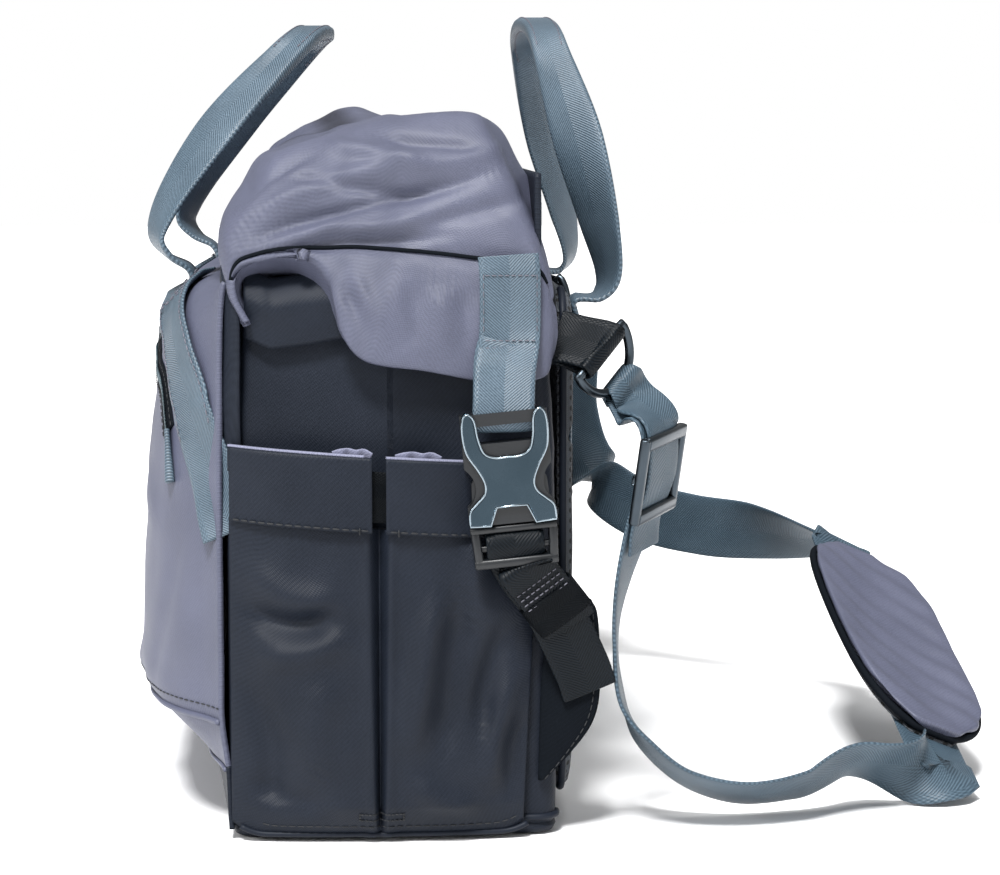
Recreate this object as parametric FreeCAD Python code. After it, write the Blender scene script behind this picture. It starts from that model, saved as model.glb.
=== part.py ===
import FreeCAD, Part
import os
from math import cos, radians, sin

V = FreeCAD.Vector
os.makedirs("parts", exist_ok=True)

# A soft roll-top shoulder bag. +X and -X are its two ends, -Y is its front, +Z is up.
# The origin is the centre of the base's underside. Everything is in millimetres.

# Main body
bag_length = 340.0          # along X, outside the side panels
bag_depth = 124.0           # along Y, outside the front and back panels
wall_height = 204.0         # top edge of the side and front panels
wall = 4.0                  # padded fabric panel
base_thickness = 5.0
base_corner = 14.0          # plan radius of the base's corners
board_thickness = 3.0
board_gap = 2.0             # between the board and the panels round it
back_height = wall_height + 2.0         # the back panel stands a little higher
mesh_thickness = 7.0        # air-mesh pad on the back
mesh_inset = 18.0           # from each end of the bag
mesh_bottom = 12.0
mesh_top = wall_height + 1.0
end = bag_length / 2        # outer face of an end
front = -bag_depth / 2      # outer face of the front
back = bag_depth / 2        # outer face of the back

# Collar under the roll
collar_step = 2.0           # the back collar stands this far inside the back panel
collar_lap = 30.0           # sewn down inside the panels
collar_wall = 3.0
collar_height = wall_height + 46.0

# Front pocket
pocket_gap = 0.3            # between the front panel and the pocket's back
pocket_wall = 2.5
pocket_bottom = 42.0
pocket_top = wall_height + 5.0
pocket_depth = 42.0         # how far the fullest part stands out
pocket_low_depth = 40.0
pocket_bulge = [(44.0, pocket_low_depth), (80.0, pocket_depth), (wall_height - 74, pocket_depth - 3.5),
                (wall_height - 40, pocket_depth - 9), (wall_height - 14, pocket_depth - 9),
                (wall_height, pocket_depth / 2)]            # height, depth
# x and the share of the depth there
pocket_plan = [(end - 95, 1.0), (end - 58, 0.84), (end - 30, 0.60), (end - 14, 0.34), (end - 3, 0.14)]
underside_bottom = 5.0

# Front zip
zip_tape = 10.0             # width of the tape and coil
zip_thickness = 1.6
front_zip_height = wall_height - 27.0
front_zip_x = -60.0         # where the slider rests
tab_length = 20.0
tab_width = 8.0
tab_thickness = 3.6

# Back zip
back_zip_height = collar_height - 11.0
back_zip_half = end - 88.0
back_zip_x = 50.0
slider_length = 10.0
slider_width = 7.0
slider_thickness = 3.4
pull_length = 30.0
pull_width = 7.0
pull_thickness = 1.6

# Side pockets
side_pocket_front = front + 1.0
side_pocket_back = back - 9.0
side_pocket_bulge = 15.0
side_pocket_wall = 2.2
side_pocket_floor = 3.0
side_pocket_bottom = 3.0
hem_bottom = 125.0
hem_top = 148.0
hem_proud = 1.2             # the hem is thicker than the pocket's wall
slit_width = 5.0
slit_y = -5.0
elastic_thickness = 0.8

# Webbing
webbing = 25.0
webbing_thickness = 2.0
shoulder_width = 30.0
shoulder_thickness = 2.4

# Roll top
hinge_y = front - 2.0       # the seam that the roll top turns about
hinge_z = wall_height + 15.0
roll_end = end + 7.0        # half length of the roll, with its ears
ear_thickness = 4.5
roll_thickness = 5.0
rim = wall_height
roll_outer = [(front - 2.5, rim + 17), (front - 1, rim + 35), (front + 11, rim + 52), (front + 26, rim + 64),
              (front + 54, rim + 68.5), (back - 25, rim + 66), (back - 17, rim + 58)]     # y, z over the roll
ear_edge = [(back - 17, rim + 53), (back - 7, rim + 26), (back - 2, rim), (back - 3, rim - 29),
            (back - 34, rim - 31), (front + 58, rim - 28), (front + 43, rim - 14), (front + 38, rim + 6),
            (front + 31, rim + 16), (front + 18, rim + 18), (front + 5, rim + 11), (front + 1, rim + 8)]
stiffener_thickness = 2.0
stiffener_half = end - 10.0

# Closure: straps and side-release buckles
strap_y = back - 19.0       # middle of the strap where it is sewn to the roll
strap_top = wall_height + 13.3
buckle_y = back - 19.5
buckle_z = wall_height - 70.0
buckle_x = roll_end + 7.2   # inner face of the buckle
buckle_tilt = 5.5           # degrees, lower end towards the back
buckle_width = 32.0
buckle_thickness = 7.4
plate_thickness = 1.6
female_top = 30.0           # heights here are above the buckle's middle
female_foot = -11.0
male_top = -11.8
male_bottom = -27.0
bar_size = 3.0
prong_length = 25.0
prong_width = 5.0
prong_thickness = 3.4
prong_gap = 1.0             # running room round each prong
skin = 1.6                  # wall of the female half

# Lower straps
wing_thickness = 2.6
keeper_wall = 1.0

# Handles
handle_x = end - 72.0
front_handle_y = front - 17.0
front_handle_z = wall_height + 8.0
back_handle_y = back + 11.0
back_handle_z = wall_height - 5.0
handle_thickness = 3.0
anchor_thickness = 2.0

# Shoulder strap
ring_x = end - 5.0
lift_y = back + 8.8         # the strap tabs bend about this line
lift_z = wall_height - 17.0
tab_root_radius = 7.0
tab_plate = 4.0
ring_wire = 3.6
ring_middle = V(ring_x, lift_y + 6.7, lift_z - 3.0)
ring_bar = 30.0
ring_depth = 17.0
ring_along = V(-0.50, 0.58, 0.64)       # the straight bar's direction
slider_middle = ring_middle + V(-1.5, 19.5, -46.0)
slider_across = V(-0.88, 0.46, 0.06)
slider_long = 33.0
slider_rail = 3.2
slider_bar = 4.5
slider_depth = 4.0
pad_width = 60.0
pad_thickness = 13.0
pad_slot = 0.6              # room round the webbing in the pad's sleeve
pad_mesh_thickness = 3.0
pad_under = 2.0             # fabric below the sleeve
pad_length = 147.5
pad_middle = V(36.0, back + 150.0, 45.5)
pad_direction = V(-138.0, -10.0, 51.0)
pad_tilt = V(0.05, 0.88, -0.47)         # across the pad


def save(shape, node):
    if not shape.isValid():
        print("NOT VALID", node)
    shape.exportStep("parts/" + node + ".step")


def box(low, high):
    size = V(*high) - V(*low)
    return Part.makeBox(size.x, size.y, size.z, V(*low))


def prism_x(outline, x0, x1):
    # An outline of (y, z) points carried from x0 to x1.
    wire = Part.makePolygon([V(x0, y, z) for y, z in outline + outline[:1]])
    return Part.Face(wire).extrude(V(x1 - x0, 0, 0))


def prism_y(outline, y0, y1):
    # An outline of (x, z) points carried from y0 to y1.
    wire = Part.makePolygon([V(x, y0, z) for x, z in outline + outline[:1]])
    return Part.Face(wire).extrude(V(0, y1 - y0, 0))


def prism_z(outline, z0, z1):
    # An outline of (x, y) points carried from z0 to z1.
    wire = Part.makePolygon([V(x, y, z0) for x, y in outline + outline[:1]])
    return Part.Face(wire).extrude(V(0, 0, z1 - z0))


def fused(shapes):
    whole = shapes[0]
    for shape in shapes[1:]:
        whole = whole.fuse(shape)
    return whole.removeSplitter()


def mirrored(shape):
    return shape.mirror(V(0, 0, 0), V(1, 0, 0))


def save_pair(shape, node):
    save(shape, node + "_right")
    save(mirrored(shape), node + "_left")


def smooth(points, steps):
    # A Catmull-Rom curve through points: each span's end slopes are half the chord past its ends.
    ends = [points[0] * 2 - points[1]] + points + [points[-1] * 2 - points[-2]]
    curve = []
    for i in range(1, len(ends) - 2):
        p0, p1, p2, p3 = ends[i - 1:i + 3]
        for step in range(steps):
            t = step / steps
            curve.append((p1 * 2 + (p2 - p0) * t + (p0 * 2 - p1 * 5 + p2 * 4 - p3) * t ** 2
                          + (p1 * 3 - p0 - p2 * 3 + p3) * t ** 3) * 0.5)
    return curve + [points[-1]]


def ribbon(route, across, width, thickness, steps=4):
    # A flat strap: a rectangle carried along the route, its width along the across directions.
    middle = smooth(route, steps)
    sideways = smooth(across, steps)
    last = len(middle) - 1
    wires = []
    for i, centre in enumerate(middle):
        ahead = (middle[min(i + 1, last)] - middle[max(i - 1, 0)]).normalize()
        side = sideways[i] - ahead * sideways[i].dot(ahead)
        side = side.normalize() * (width / 2)
        face = ahead.cross(side).normalize() * (thickness / 2)
        corners = [centre + side + face, centre - side + face, centre - side - face, centre + side - face]
        wires.append(Part.makePolygon(corners + corners[:1]))
    return Part.makeLoft(wires, True, True)


def base():
    panel = box((-end, front, 0), (end, back, base_thickness))
    upright = [edge for edge in panel.Edges if abs(edge.tangentAt(edge.FirstParameter).z) > 0.9]
    save(panel.makeFillet(base_corner, upright), "base_panel")
    inside_x = end - wall - board_gap
    inside_y = back - wall - board_gap
    top = base_thickness + board_thickness
    save(box((-inside_x, -inside_y, base_thickness), (inside_x, inside_y, top)), "base_board")


def panels():
    low = base_thickness
    save(box((-end + wall, front, low), (end - wall, front + wall, wall_height)), "front_panel")
    save(box((-end + wall, back - wall, low), (end - wall, back, back_height)), "back_panel")
    side = box((end - wall, front, low), (end, back, wall_height))
    corners = Part.makeCylinder(base_corner, wall_height, V(end - base_corner, 0, 0), V(0, 0, 1))
    save_pair(side.cut(corners.common(side).cut(side)), "side_panel")
    mesh_half = end - mesh_inset
    save(box((-mesh_half, back, mesh_bottom), (mesh_half, back + mesh_thickness, mesh_top)), "back_mesh")


def collar():
    inside = front + wall
    behind = back - wall - collar_step
    x1 = end - wall - 0.4
    x0 = x1 - collar_wall
    edge = behind - collar_wall - 0.4
    low = wall_height - collar_lap
    outline = [(inside, low), (inside, rim + 22), (front + 16, rim + 40), (front + 32, rim + 52),
               (back - 28, rim + 52), (edge, collar_height), (edge, low)]
    save_pair(prism_x(outline, x0, x1), "collar_gusset")
    save(box((-x1, behind - collar_wall, low), (x1, behind, collar_height)), "back_collar")


def pocket_section(x, share, extra, inset):
    root = front - pocket_gap - inset
    outline = [(root, pocket_bottom + inset)]
    for z, bulge in pocket_bulge:
        z = max(min(z, pocket_top - inset * 2), pocket_bottom + inset + 2)
        outline.append((min(root - 0.4, root - bulge * share - extra + inset * 2), z))
    outline.append((root, pocket_top - inset))
    return Part.makePolygon([V(x, y, z) for y, z in outline + outline[:1]])


def pocket_body(extra=0.0, inset=0.0):
    # The front pocket: flat in the middle and drawn in towards both ends of the bag.
    plan = [(-x, share) for x, share in reversed(pocket_plan)] + pocket_plan
    shrink = 1 - inset / pocket_plan[-1][0]
    wires = [pocket_section(x * shrink, share, extra, inset) for x, share in plan]
    return Part.makeLoft(wires, True, True)


def on_pocket(outline, low, high):
    # The layer between two heights over the pocket's face, inside an outline of (x, z) points.
    layer = pocket_body(high).cut(pocket_body(low))
    return layer.common(prism_y(outline, front - pocket_depth * 1.5, front - pocket_gap - 1.0))


def front_pocket():
    save(pocket_body().cut(pocket_body(0.0, pocket_wall)), "front_pocket")
    plan = [(-x, share) for x, share in reversed(pocket_plan)] + pocket_plan
    root = front - pocket_gap
    wires = []
    for x, share in plan:
        nose = root - (pocket_low_depth - 2) * share
        outline = [(root, underside_bottom), (nose, pocket_bottom - 0.3), (root, pocket_bottom - 0.3)]
        wires.append(Part.makePolygon([V(x, y, z) for y, z in outline + outline[:1]]))
    save(Part.makeLoft(wires, True, True), "front_pocket_underside")


def band(route, half):
    # A band of the given half width about a route of (x, z) points, widened along z.
    return [(x, z + half) for x, z in route] + [(x, z - half) for x, z in reversed(route)]


def front_zip():
    top = front_zip_height
    arch = [(end - 36, top - 26), (end - 46, top - 11), (end - 62, top - 5), (end - 95, top)]
    route = [(-x, z) for x, z in arch] + arch[::-1]
    save(on_pocket(band(route, zip_tape / 2), 0.0, zip_thickness), "front_zip")
    tabs = []
    for side in (-1, 1):
        x = side * (end - 35)
        z = top - 42
        outline = [(x - tab_width / 2, z), (x + tab_width / 2, z), (x + tab_width / 2, z + tab_length / 2),
                   (x - tab_width / 2, z + tab_length / 2)]
        tabs.append(on_pocket(outline, 0.0, tab_thickness).Solids[0])
    save(Part.makeCompound(tabs), "front_zip_tabs")


def front_anchors():
    strips = []
    for side in (-1, 1):
        outer = [(handle_x - webbing / 2, rim - 1), (end - 45, rim - 1), (end - 27, rim - 7),
                 (end - 11, rim - 25), (end - 4, rim - 46), (end - 4, rim - 78), (end - 20, rim - 72),
                 (end - 24, rim - 55), (end - 29, rim - 41), (end - 41, rim - 27), (end - 59, rim - 15)]
        outline = [(side * x, z) for x, z in outer]
        strips.append(on_pocket(outline, 0.0, anchor_thickness).Solids[0])
    save(Part.makeCompound(strips), "front_handle_anchors")


def back_anchors():
    face = back + mesh_thickness
    strips = []
    for side in (-1, 1):
        low = side * handle_x - webbing / 2
        strips.append(box((low, face, rim - 84), (low + webbing, face + anchor_thickness, rim - 8)))
    save(Part.makeCompound(strips), "back_handle_anchors")


def back_zip():
    face = back - wall - collar_step
    low = back_zip_height - zip_tape / 2
    save(box((-back_zip_half, face, low), (back_zip_half, face + zip_thickness, low + zip_tape)), "back_zip")


def zip_slider(x, y, z, outwards, name):
    # The slider rides just off the tape, and its pull hangs from a pin through the bridge.
    near = y + outwards * 0.1
    far = near + outwards * slider_thickness
    half = slider_length / 2
    body = box((x - slider_width / 2, min(near, far), z - half),
               (x + slider_width / 2, max(near, far), z + half))
    pin_y = (near + far) / 2
    pin_z = z + 0.2
    pin = Part.makeCylinder(0.7, slider_width, V(x - slider_width / 2, pin_y, pin_z), V(1, 0, 0))
    fork = box((x - 1.9, min(near, far) - 1, z - 2.2), (x + 1.9, max(near, far) + 1, z + half + 1))
    plate = box((x - slider_width / 2, min(near, near + outwards * 0.2), z - half),
                (x + slider_width / 2, max(near, near + outwards * 0.2), z + half))
    save(fused([body.cut(fork), pin, plate]), name + "_slider")
    eye = Part.makeCylinder(1.45, 3.4, V(x - 1.7, pin_y, pin_z), V(1, 0, 0))
    hole = Part.makeCylinder(0.76, 6.0, V(x - 3.0, pin_y, pin_z), V(1, 0, 0))
    out = far + outwards * 0.3
    out2 = out + outwards * pull_thickness
    neck = box((x - 1.7, min(pin_y, out2), pin_z - 1.45), (x + 1.7, max(pin_y, out2), pin_z))
    blade = box((x - pull_width / 2, min(out, out2), pin_z - pull_length),
                (x + pull_width / 2, max(out, out2), pin_z - 3.2))
    link = box((x - 1.7, min(out, out2), pin_z - 4.0), (x + 1.7, max(out, out2), pin_z))
    save(fused([eye, neck, link, blade]).cut(hole), name + "_pull")
    print(name, "pull pin", x, round(pin_y, 3), round(pin_z, 3))


def pocket_bow(proud, start, stop):
    # Plan outline of a side pocket: a parabola out of the side panel, (x, y) points.
    middle = (side_pocket_front + side_pocket_back) / 2
    half = (side_pocket_back - side_pocket_front) / 2
    points = []
    for i in range(13):
        y = start + (stop - start) * i / 12
        out = (side_pocket_bulge - 3) * (1 - ((y - middle) / half) ** 2) + 3 + proud
        points.append((end + max(out, 0.05), y))
    return points


def side_pockets():
    near = end
    first, last = side_pocket_front, side_pocket_back
    outer = [(near, first)] + pocket_bow(0, first, last) + [(near, last)]
    inside = side_pocket_wall
    inner = [(near - 1, first + inside)] + pocket_bow(-inside, first + inside, last - inside)
    inner = inner + [(near - 1, last - inside)]
    shell = prism_z(outer, side_pocket_bottom, hem_bottom)
    hollow = prism_z(inner, side_pocket_bottom + side_pocket_floor, hem_bottom + 1)
    save_pair(shell.cut(hollow), "side_pocket")
    hem_outer = [(near, first)] + pocket_bow(hem_proud, first, last) + [(near, last)]
    hem = prism_z(hem_outer, hem_bottom, hem_top).cut(prism_z(inner, hem_bottom - 1, hem_top + 1))
    slit = box((near - 1, slit_y - slit_width / 2, hem_bottom - 1),
               (near + side_pocket_bulge + 5, slit_y + slit_width / 2, hem_top + 1))
    save_pair(hem.cut(slit), "pocket_hem")
    behind = pocket_bow(-inside - elastic_thickness - 0.5, slit_y - 14, slit_y + 14)
    before = pocket_bow(-inside - 0.5, slit_y - 14, slit_y + 14)
    save_pair(prism_z(before + behind[::-1], hem_bottom + 2, hem_top - 5), "pocket_elastic")


def roll_top():
    under = []
    centre_y = front + 54
    for y, z in roll_outer:
        under.append((y + (centre_y - y) * roll_thickness / 75, z - roll_thickness))
    under[0] = (roll_outer[0][0] + roll_thickness, hinge_z + 2.0)
    under[1] = (roll_outer[1][0] + roll_thickness, roll_outer[1][1] - 3.0)
    cap = prism_x(roll_outer + under[::-1], -roll_end, roll_end)
    ear = prism_x(roll_outer + ear_edge, roll_end - ear_thickness, roll_end)
    save(fused([cap, ear, mirrored(ear)]), "roll_top")
    top = [(front + 28, rim + 58.3), (back - 28, rim + 60)]
    board = top + [(y, z - stiffener_thickness) for y, z in reversed(top)]
    save(prism_x(board, -stiffener_half, stiffener_half), "roll_stiffener")


def buckle_place(shape):
    # The buckle's own frame has its middle at zero, width along Y and thickness along X.
    shape.rotate(V(0, 0, 0), V(1, 0, 0), buckle_tilt)
    shape.translate(V(buckle_x, buckle_y, buckle_z))
    return shape


def female_half():
    half = buckle_width / 2
    body = box((0, -half, female_foot), (buckle_thickness, half, female_top))
    hollow = box((skin, -half - 1, female_foot - 1), (buckle_thickness - skin, half + 1, 15.5))
    opening = box((-1, -half + 4.5, female_top - 11), (buckle_thickness + 1, half - 4.5, female_top - 4.5))
    waists = []
    for side in (-1, 1):
        waists.append(Part.makeCylinder(9.0, 30, V(-5, side * (half + 5.5), 3.0), V(1, 0, 0)))
    shell = body.cut(hollow).cut(opening)
    for waist in waists:
        shell = shell.cut(waist)
    return shell


def female_plate():
    # The metal face: an X with two horns above and a foot below.
    half = buckle_width / 2
    outline = [(-half + 1, female_foot + 1), (half - 1, female_foot + 1), (half - 1, -6.0), (half - 5.5, -1.0),
               (half - 7.5, 4.0), (half - 5.0, 10.0), (half - 0.6, 16.0), (half, 26.0), (half - 1.5, 31.0),
               (half - 4.6, 29.0), (half - 5.2, 19.0), (7.0, 13.6), (-7.0, 13.6), (-half + 5.2, 19.0),
               (-half + 4.6, 29.0), (-half + 1.5, 31.0), (-half, 26.0), (-half + 0.6, 16.0),
               (-half + 5.0, 10.0),
               (-half + 7.5, 4.0), (-half + 5.5, -1.0), (-half + 1, -6.0)]
    return prism_x(outline, buckle_thickness, buckle_thickness + plate_thickness)


def male_half():
    half = buckle_width / 2
    body = box((0.4, -half, male_bottom), (buckle_thickness - 0.4, half, male_top))
    for low in (male_bottom + bar_size, male_bottom + bar_size * 2 + 3.0):
        body = body.cut(box((-1, -half + 3.5, low), (buckle_thickness + 1, half - 3.5, low + 3.4)))
    tongue = box((2.2, -1.2, male_top), (buckle_thickness - 2.2, 1.2, male_top + 16))
    return fused([body, tongue])


def prong(side):
    # A springy arm that tapers to its tip, with a button where the thumb presses.
    root = side * (buckle_width / 2 - 6.0)
    low = male_top + 0.3
    top = low + prong_length
    out = root + side * prong_width * 0.5
    outline = [(root - side * 1.6, low), (root + side * 1.6, low), (root + side * 2.0, low + 5),
               (out + side * 1.8, low + 9), (out + side * 1.4, low + 16), (root + side * 0.6, top - 3),
               (root - side * 0.6, top), (root - side * 2.4, top - 1), (root - side * 1.6, low + 8)]
    x0 = (buckle_thickness - prong_thickness) / 2
    return prism_x(outline, x0, x0 + prong_thickness)


def buckles():
    save_pair(buckle_place(female_half()), "buckle_female")
    save_pair(buckle_place(female_plate()), "buckle_plate")
    save_pair(buckle_place(male_half()), "buckle_male")
    save_pair(buckle_place(prong(-1)), "buckle_prong_front")
    save_pair(buckle_place(prong(1)), "buckle_prong_back")
    tilt = radians(buckle_tilt)
    for side in (-1, 1):
        y = side * (buckle_width / 2 - 6.0)
        z = male_top + 0.3
        pivot_y = buckle_y + y * cos(tilt) - z * sin(tilt)
        pivot_z = buckle_z + y * sin(tilt) + z * cos(tilt)
        print("prong pivot", side, round(pivot_y, 3), round(pivot_z, 3))


def upper_strap():
    # From the sewn box on the ear, out over the pocket, to a loop through the buckle's top bar.
    tilt = radians(buckle_tilt)
    above = female_top + webbing_thickness
    loop_y = buckle_y - above * sin(tilt)
    loop_z = buckle_z + above * cos(tilt)
    flat_x = roll_end + 0.4 + webbing_thickness / 2
    route = [V(flat_x, strap_y, strap_top + 2), V(flat_x, strap_y - 0.4, strap_top - 22),
             V(flat_x + 1, loop_y + 1.0, loop_z + 14), V(buckle_x + buckle_thickness / 2, loop_y, loop_z)]
    across = [V(0, 1, 0)] * len(route)
    strap = ribbon(route, across, webbing - 3, webbing_thickness)
    save_pair(strap, "upper_strap")


def lower_straps():
    # From the male half's bars, back and down to a wing sewn into the lower back corner.
    x = end
    wing = [(back - 4.5, 24.0), (back + 12, 44.0), (back + 14.5, 62.0), (back + 13.5, 84.0), (back + 4, 66.0),
            (back - 4.5, 52.0)]
    save_pair(prism_x(wing, x + 0.1, x + wing_thickness), "anchor_wing")
    tilt = radians(buckle_tilt)
    start = male_bottom - 3.8
    top_y = buckle_y - start * sin(tilt)
    top_z = buckle_z + start * cos(tilt)
    route = [V(buckle_x + 3.4, top_y + 2.0, top_z - 1.4), V(buckle_x + 1.0, top_y + 8.0, top_z - 10),
             V(x + 9.0, top_y + 15, top_z - 18), V(x + wing_thickness + 2.1, back + 7.5, 67.0)]
    across = [V(0, 1, 0.12), V(0, 0.86, 0.5), V(0, 0.72, 0.7), V(0, 0.6, 0.8)]
    strap = ribbon(route, across, webbing - 4, webbing_thickness)
    save_pair(strap, "lower_strap")
    middle = V(x + 10.4, top_y + 13.6, top_z - 16.2)
    room = webbing_thickness + 2.6
    half = webbing / 2 - 0.6
    outer = box((-room - keeper_wall, -half - keeper_wall, -7.5), (room + keeper_wall, half + keeper_wall, 7.5))
    keeper = outer.cut(box((-room, -half, -8.5), (room, half, 8.5)))
    keeper.rotate(V(0, 0, 0), V(0, 1, 0), 22)
    keeper.rotate(V(0, 0, 0), V(1, 0, 0), 43)
    keeper.translate(middle)
    save_pair(keeper, "strap_keeper")


def handle(root_y, root_z, half_route, name):
    # One strap from leg to leg: its width lies along X at the roots and across the arch at the top.
    right = [V(x, root_y + y, root_z + z) for x, y, z in half_route]
    left = [V(-p.x, p.y, p.z) for p in reversed(right[:-1])]
    turn = len(right) - 1
    right_across = [V(cos(radians(80 * i / turn)), sin(radians(80 * i / turn)), 0) for i in range(turn)]
    left_across = [V(-d.x, d.y, 0) for d in reversed(right_across)]
    across = right_across + [V(0, 1, 0)] + left_across
    save(ribbon(right + left, across, webbing * 0.8, handle_thickness), name)


def handles():
    front = [(handle_x, 0, 0), (handle_x + 1, -8, 5), (handle_x + 1, -12.5, 14), (handle_x, -5, 31),
             (handle_x - 7, 14, 58), (handle_x - 25, 36, 82), (handle_x - 46, 46, 92), (0, 50, 94)]
    back = [(handle_x, 0, 0), (handle_x + 1, 9, 1.5), (handle_x + 1, 13.5, 10), (handle_x, 10, 30),
            (handle_x - 5, 2, 62), (handle_x - 22, -7, 95), (handle_x - 44, -10, 107), (0, -11, 111)]
    handle(front_handle_y, front_handle_z, front, "front_handle")
    handle(back_handle_y, back_handle_z, back, "back_handle")


def placed(shape, origin, along, across):
    # From a local frame, x along the strap, y across it and z out of its face.
    face = along.cross(across)
    rows = (along.x, across.x, face.x, origin.x, along.y, across.y, face.y, origin.y,
            along.z, across.z, face.z, origin.z, 0, 0, 0, 1)
    shape.Placement = FreeCAD.Placement(FreeCAD.Matrix(*rows))
    return shape


def square_to(direction, along):
    # The part of a direction that is square to another, at unit length.
    along = V(along).normalize()
    return (direction - along * direction.dot(along)).normalize()


def ring_axes():
    # The bar lies along u, and the bow hangs along v.
    u = V(ring_along).normalize()
    return u, square_to(V(0, 0, -1), u)


def d_ring():
    # Half an ellipse closed by a straight bar, as a chain of short wires with round joints.
    u, v = ring_axes()
    bow = []
    for i in range(15):
        angle = radians(180 * i / 14)
        bow.append(ring_middle + u * (ring_bar / 2 * cos(angle)) + v * (ring_depth * sin(angle)))
    pieces = [Part.makeCylinder(ring_wire / 2, ring_bar, bow[-1], u)]
    for a, b in zip(bow, bow[1:]):
        pieces.append(Part.makeCylinder(ring_wire / 2, (b - a).Length, a, b - a))
    for p in bow:
        pieces.append(Part.makeSphere(ring_wire / 2, p))
    return fused(pieces)


def strap_tab():
    # Webbing from a round root to a sleeve folded over the ring's bar.
    u, v = ring_axes()
    root = Part.makeCylinder(tab_root_radius, tab_plate, V(ring_x - tab_plate / 2, lift_y, lift_z), V(1, 0, 0))
    half = ring_bar / 2 - ring_wire
    route = [V(ring_x, lift_y, lift_z), V(ring_x, lift_y + 3, lift_z - 1), ring_middle - v * 1.2]
    plate = ribbon(route, [V(0, 0, 1), V(-0.2, 0.3, 0.9), u], half * 1.5, tab_plate * 0.8)
    sleeve = Part.makeCylinder(ring_wire / 2 + 1.3, half * 2, ring_middle - u * half, u)
    bore = Part.makeCylinder(ring_wire / 2 + 0.05, ring_bar * 2, ring_middle - u * ring_bar, u)
    return fused([root, plate, sleeve]).cut(bore)


def pad_axes():
    along = V(pad_direction).normalize()
    return along, square_to(pad_tilt, along)


def shoulder_route():
    # Hand-set points down from the ring, along the floor, up through the pad and back to the far ring.
    along, across = pad_axes()
    u, v = ring_axes()
    pad_start = pad_middle - along * (pad_length / 2)
    pad_end = pad_middle + along * (pad_length / 2)
    start = ring_middle + v * (ring_depth + ring_wire / 2 + 1.8)
    down = slider_down() * (slider_long * 0.55)
    near = [start, start + V(2.2, 5.0, -7.5), slider_middle - down, slider_middle, slider_middle + down]
    near += [V(end - x, back + y, z) for x, y, z in
             ((9, 25.5, 98), (12, 22.5, 74), (13, 24.5, 52), (13, 33, 34), (13, 49, 19.5), (14, 71, 12.5),
              (19, 95, 14), (29, 119, 21.0))]
    near_across = [u, V(-0.7, 0.55, 0.4), slider_across, slider_across, slider_across, V(-0.95, 0.30, 0),
                   V(-1, 0.12, 0), V(-1, 0.1, 0.05), V(-0.95, 0, -0.3), V(-0.9, 0.1, -0.42),
                   V(-0.85, 0.1, -0.45), V(-0.78, 0.2, -0.42), V(-0.65, 0.4, -0.35)]
    sleeve = [pad_start - along * 20, pad_start - along * 13, pad_start, (pad_start + pad_end) * 0.5, pad_end,
              pad_end + along * 13, pad_end + along * 20]
    last = V(-start.x, start.y, start.z)
    far = [V(x - end, back + y, z) for x, y, z in
           ((72, 116, 76), (48, 88, 76), (28, 60, 82), (14, 38, 100), (8, 30, 128))]
    far += [last + V(-2.0, 4.0, -12.0), last]
    far_across = [V(0, 0.5, -0.85), V(0, 0.2, -0.98), V(0.1, 0.2, -0.95), V(0.3, 0.6, -0.5), V(0.5, 0.8, -0.1),
                  V(0.5, 0.7, 0.4), V(-u.x, u.y, u.z)]
    return near + sleeve + far, near_across + [across] * len(sleeve) + far_across


def slider_down():
    return square_to(V(-0.1, -0.14, -1.0), slider_across)


def shoulder_strap():
    route, across = shoulder_route()
    strap = ribbon(route, across, shoulder_width, shoulder_thickness, 3)
    print("shoulder strap length", round(sum((b - a).Length for a, b in zip(route, route[1:]))))
    save(strap, "shoulder_webbing")
    save_pair(d_ring(), "d_ring")
    save_pair(strap_tab(), "strap_tab")


def strap_slider():
    # A cast ladder: two rails beside the strap, end bars over it and a middle bar under it.
    half = slider_long / 2
    inner = shoulder_width / 2 + 1.8
    near = shoulder_thickness / 2 + 1.1
    pieces = []
    for side in (-1, 1):
        rail = sorted((side * inner, side * (inner + slider_rail)))
        pieces.append(box((-half, rail[0], -slider_depth), (half, rail[1], slider_depth)))
        low, high = sorted((side * half, side * (half - slider_bar)))
        pieces.append(box((low, -inner, near), (high, inner, slider_depth)))
    pieces.append(box((-slider_bar / 2, -inner, -slider_depth), (slider_bar / 2, inner, -near)))
    save(placed(fused(pieces), slider_middle, slider_down(), slider_across), "strap_slider")


def shoulder_pad():
    # The fabric cover faces outwards and the air mesh inwards, towards whoever wears it.
    along, across = pad_axes()
    length = pad_length
    pad_start = pad_middle - along * (length / 2)
    half = pad_width / 2
    slot_y = shoulder_width / 2 + pad_slot
    slot_z = shoulder_thickness / 2 + pad_slot
    low = -slot_z - pad_under
    top = box((0, -half, low), (length, half, low + pad_thickness - pad_mesh_thickness))
    cover = top.cut(box((-1, -slot_y, -slot_z), (length + 1, slot_y, slot_z)))
    under = box((2, -half + 2, low - pad_mesh_thickness), (length - 2, half - 2, low))
    save(placed(cover, pad_start, along, -across), "pad_cover")
    save(placed(under, pad_start, along, -across), "pad_mesh")


base()
panels()
collar()
front_pocket()
front_zip()
front_anchors()
back_anchors()
back_zip()
zip_slider(front_zip_x, front - pocket_gap - (pocket_depth - 9) - zip_thickness, front_zip_height, -1,
           "front_zip")
zip_slider(back_zip_x, back - wall - collar_step + zip_thickness, back_zip_height, 1, "back_zip")
side_pockets()
roll_top()
buckles()
upper_strap()
lower_straps()
handles()
shoulder_strap()
strap_slider()
shoulder_pad()
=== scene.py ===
import math

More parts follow.
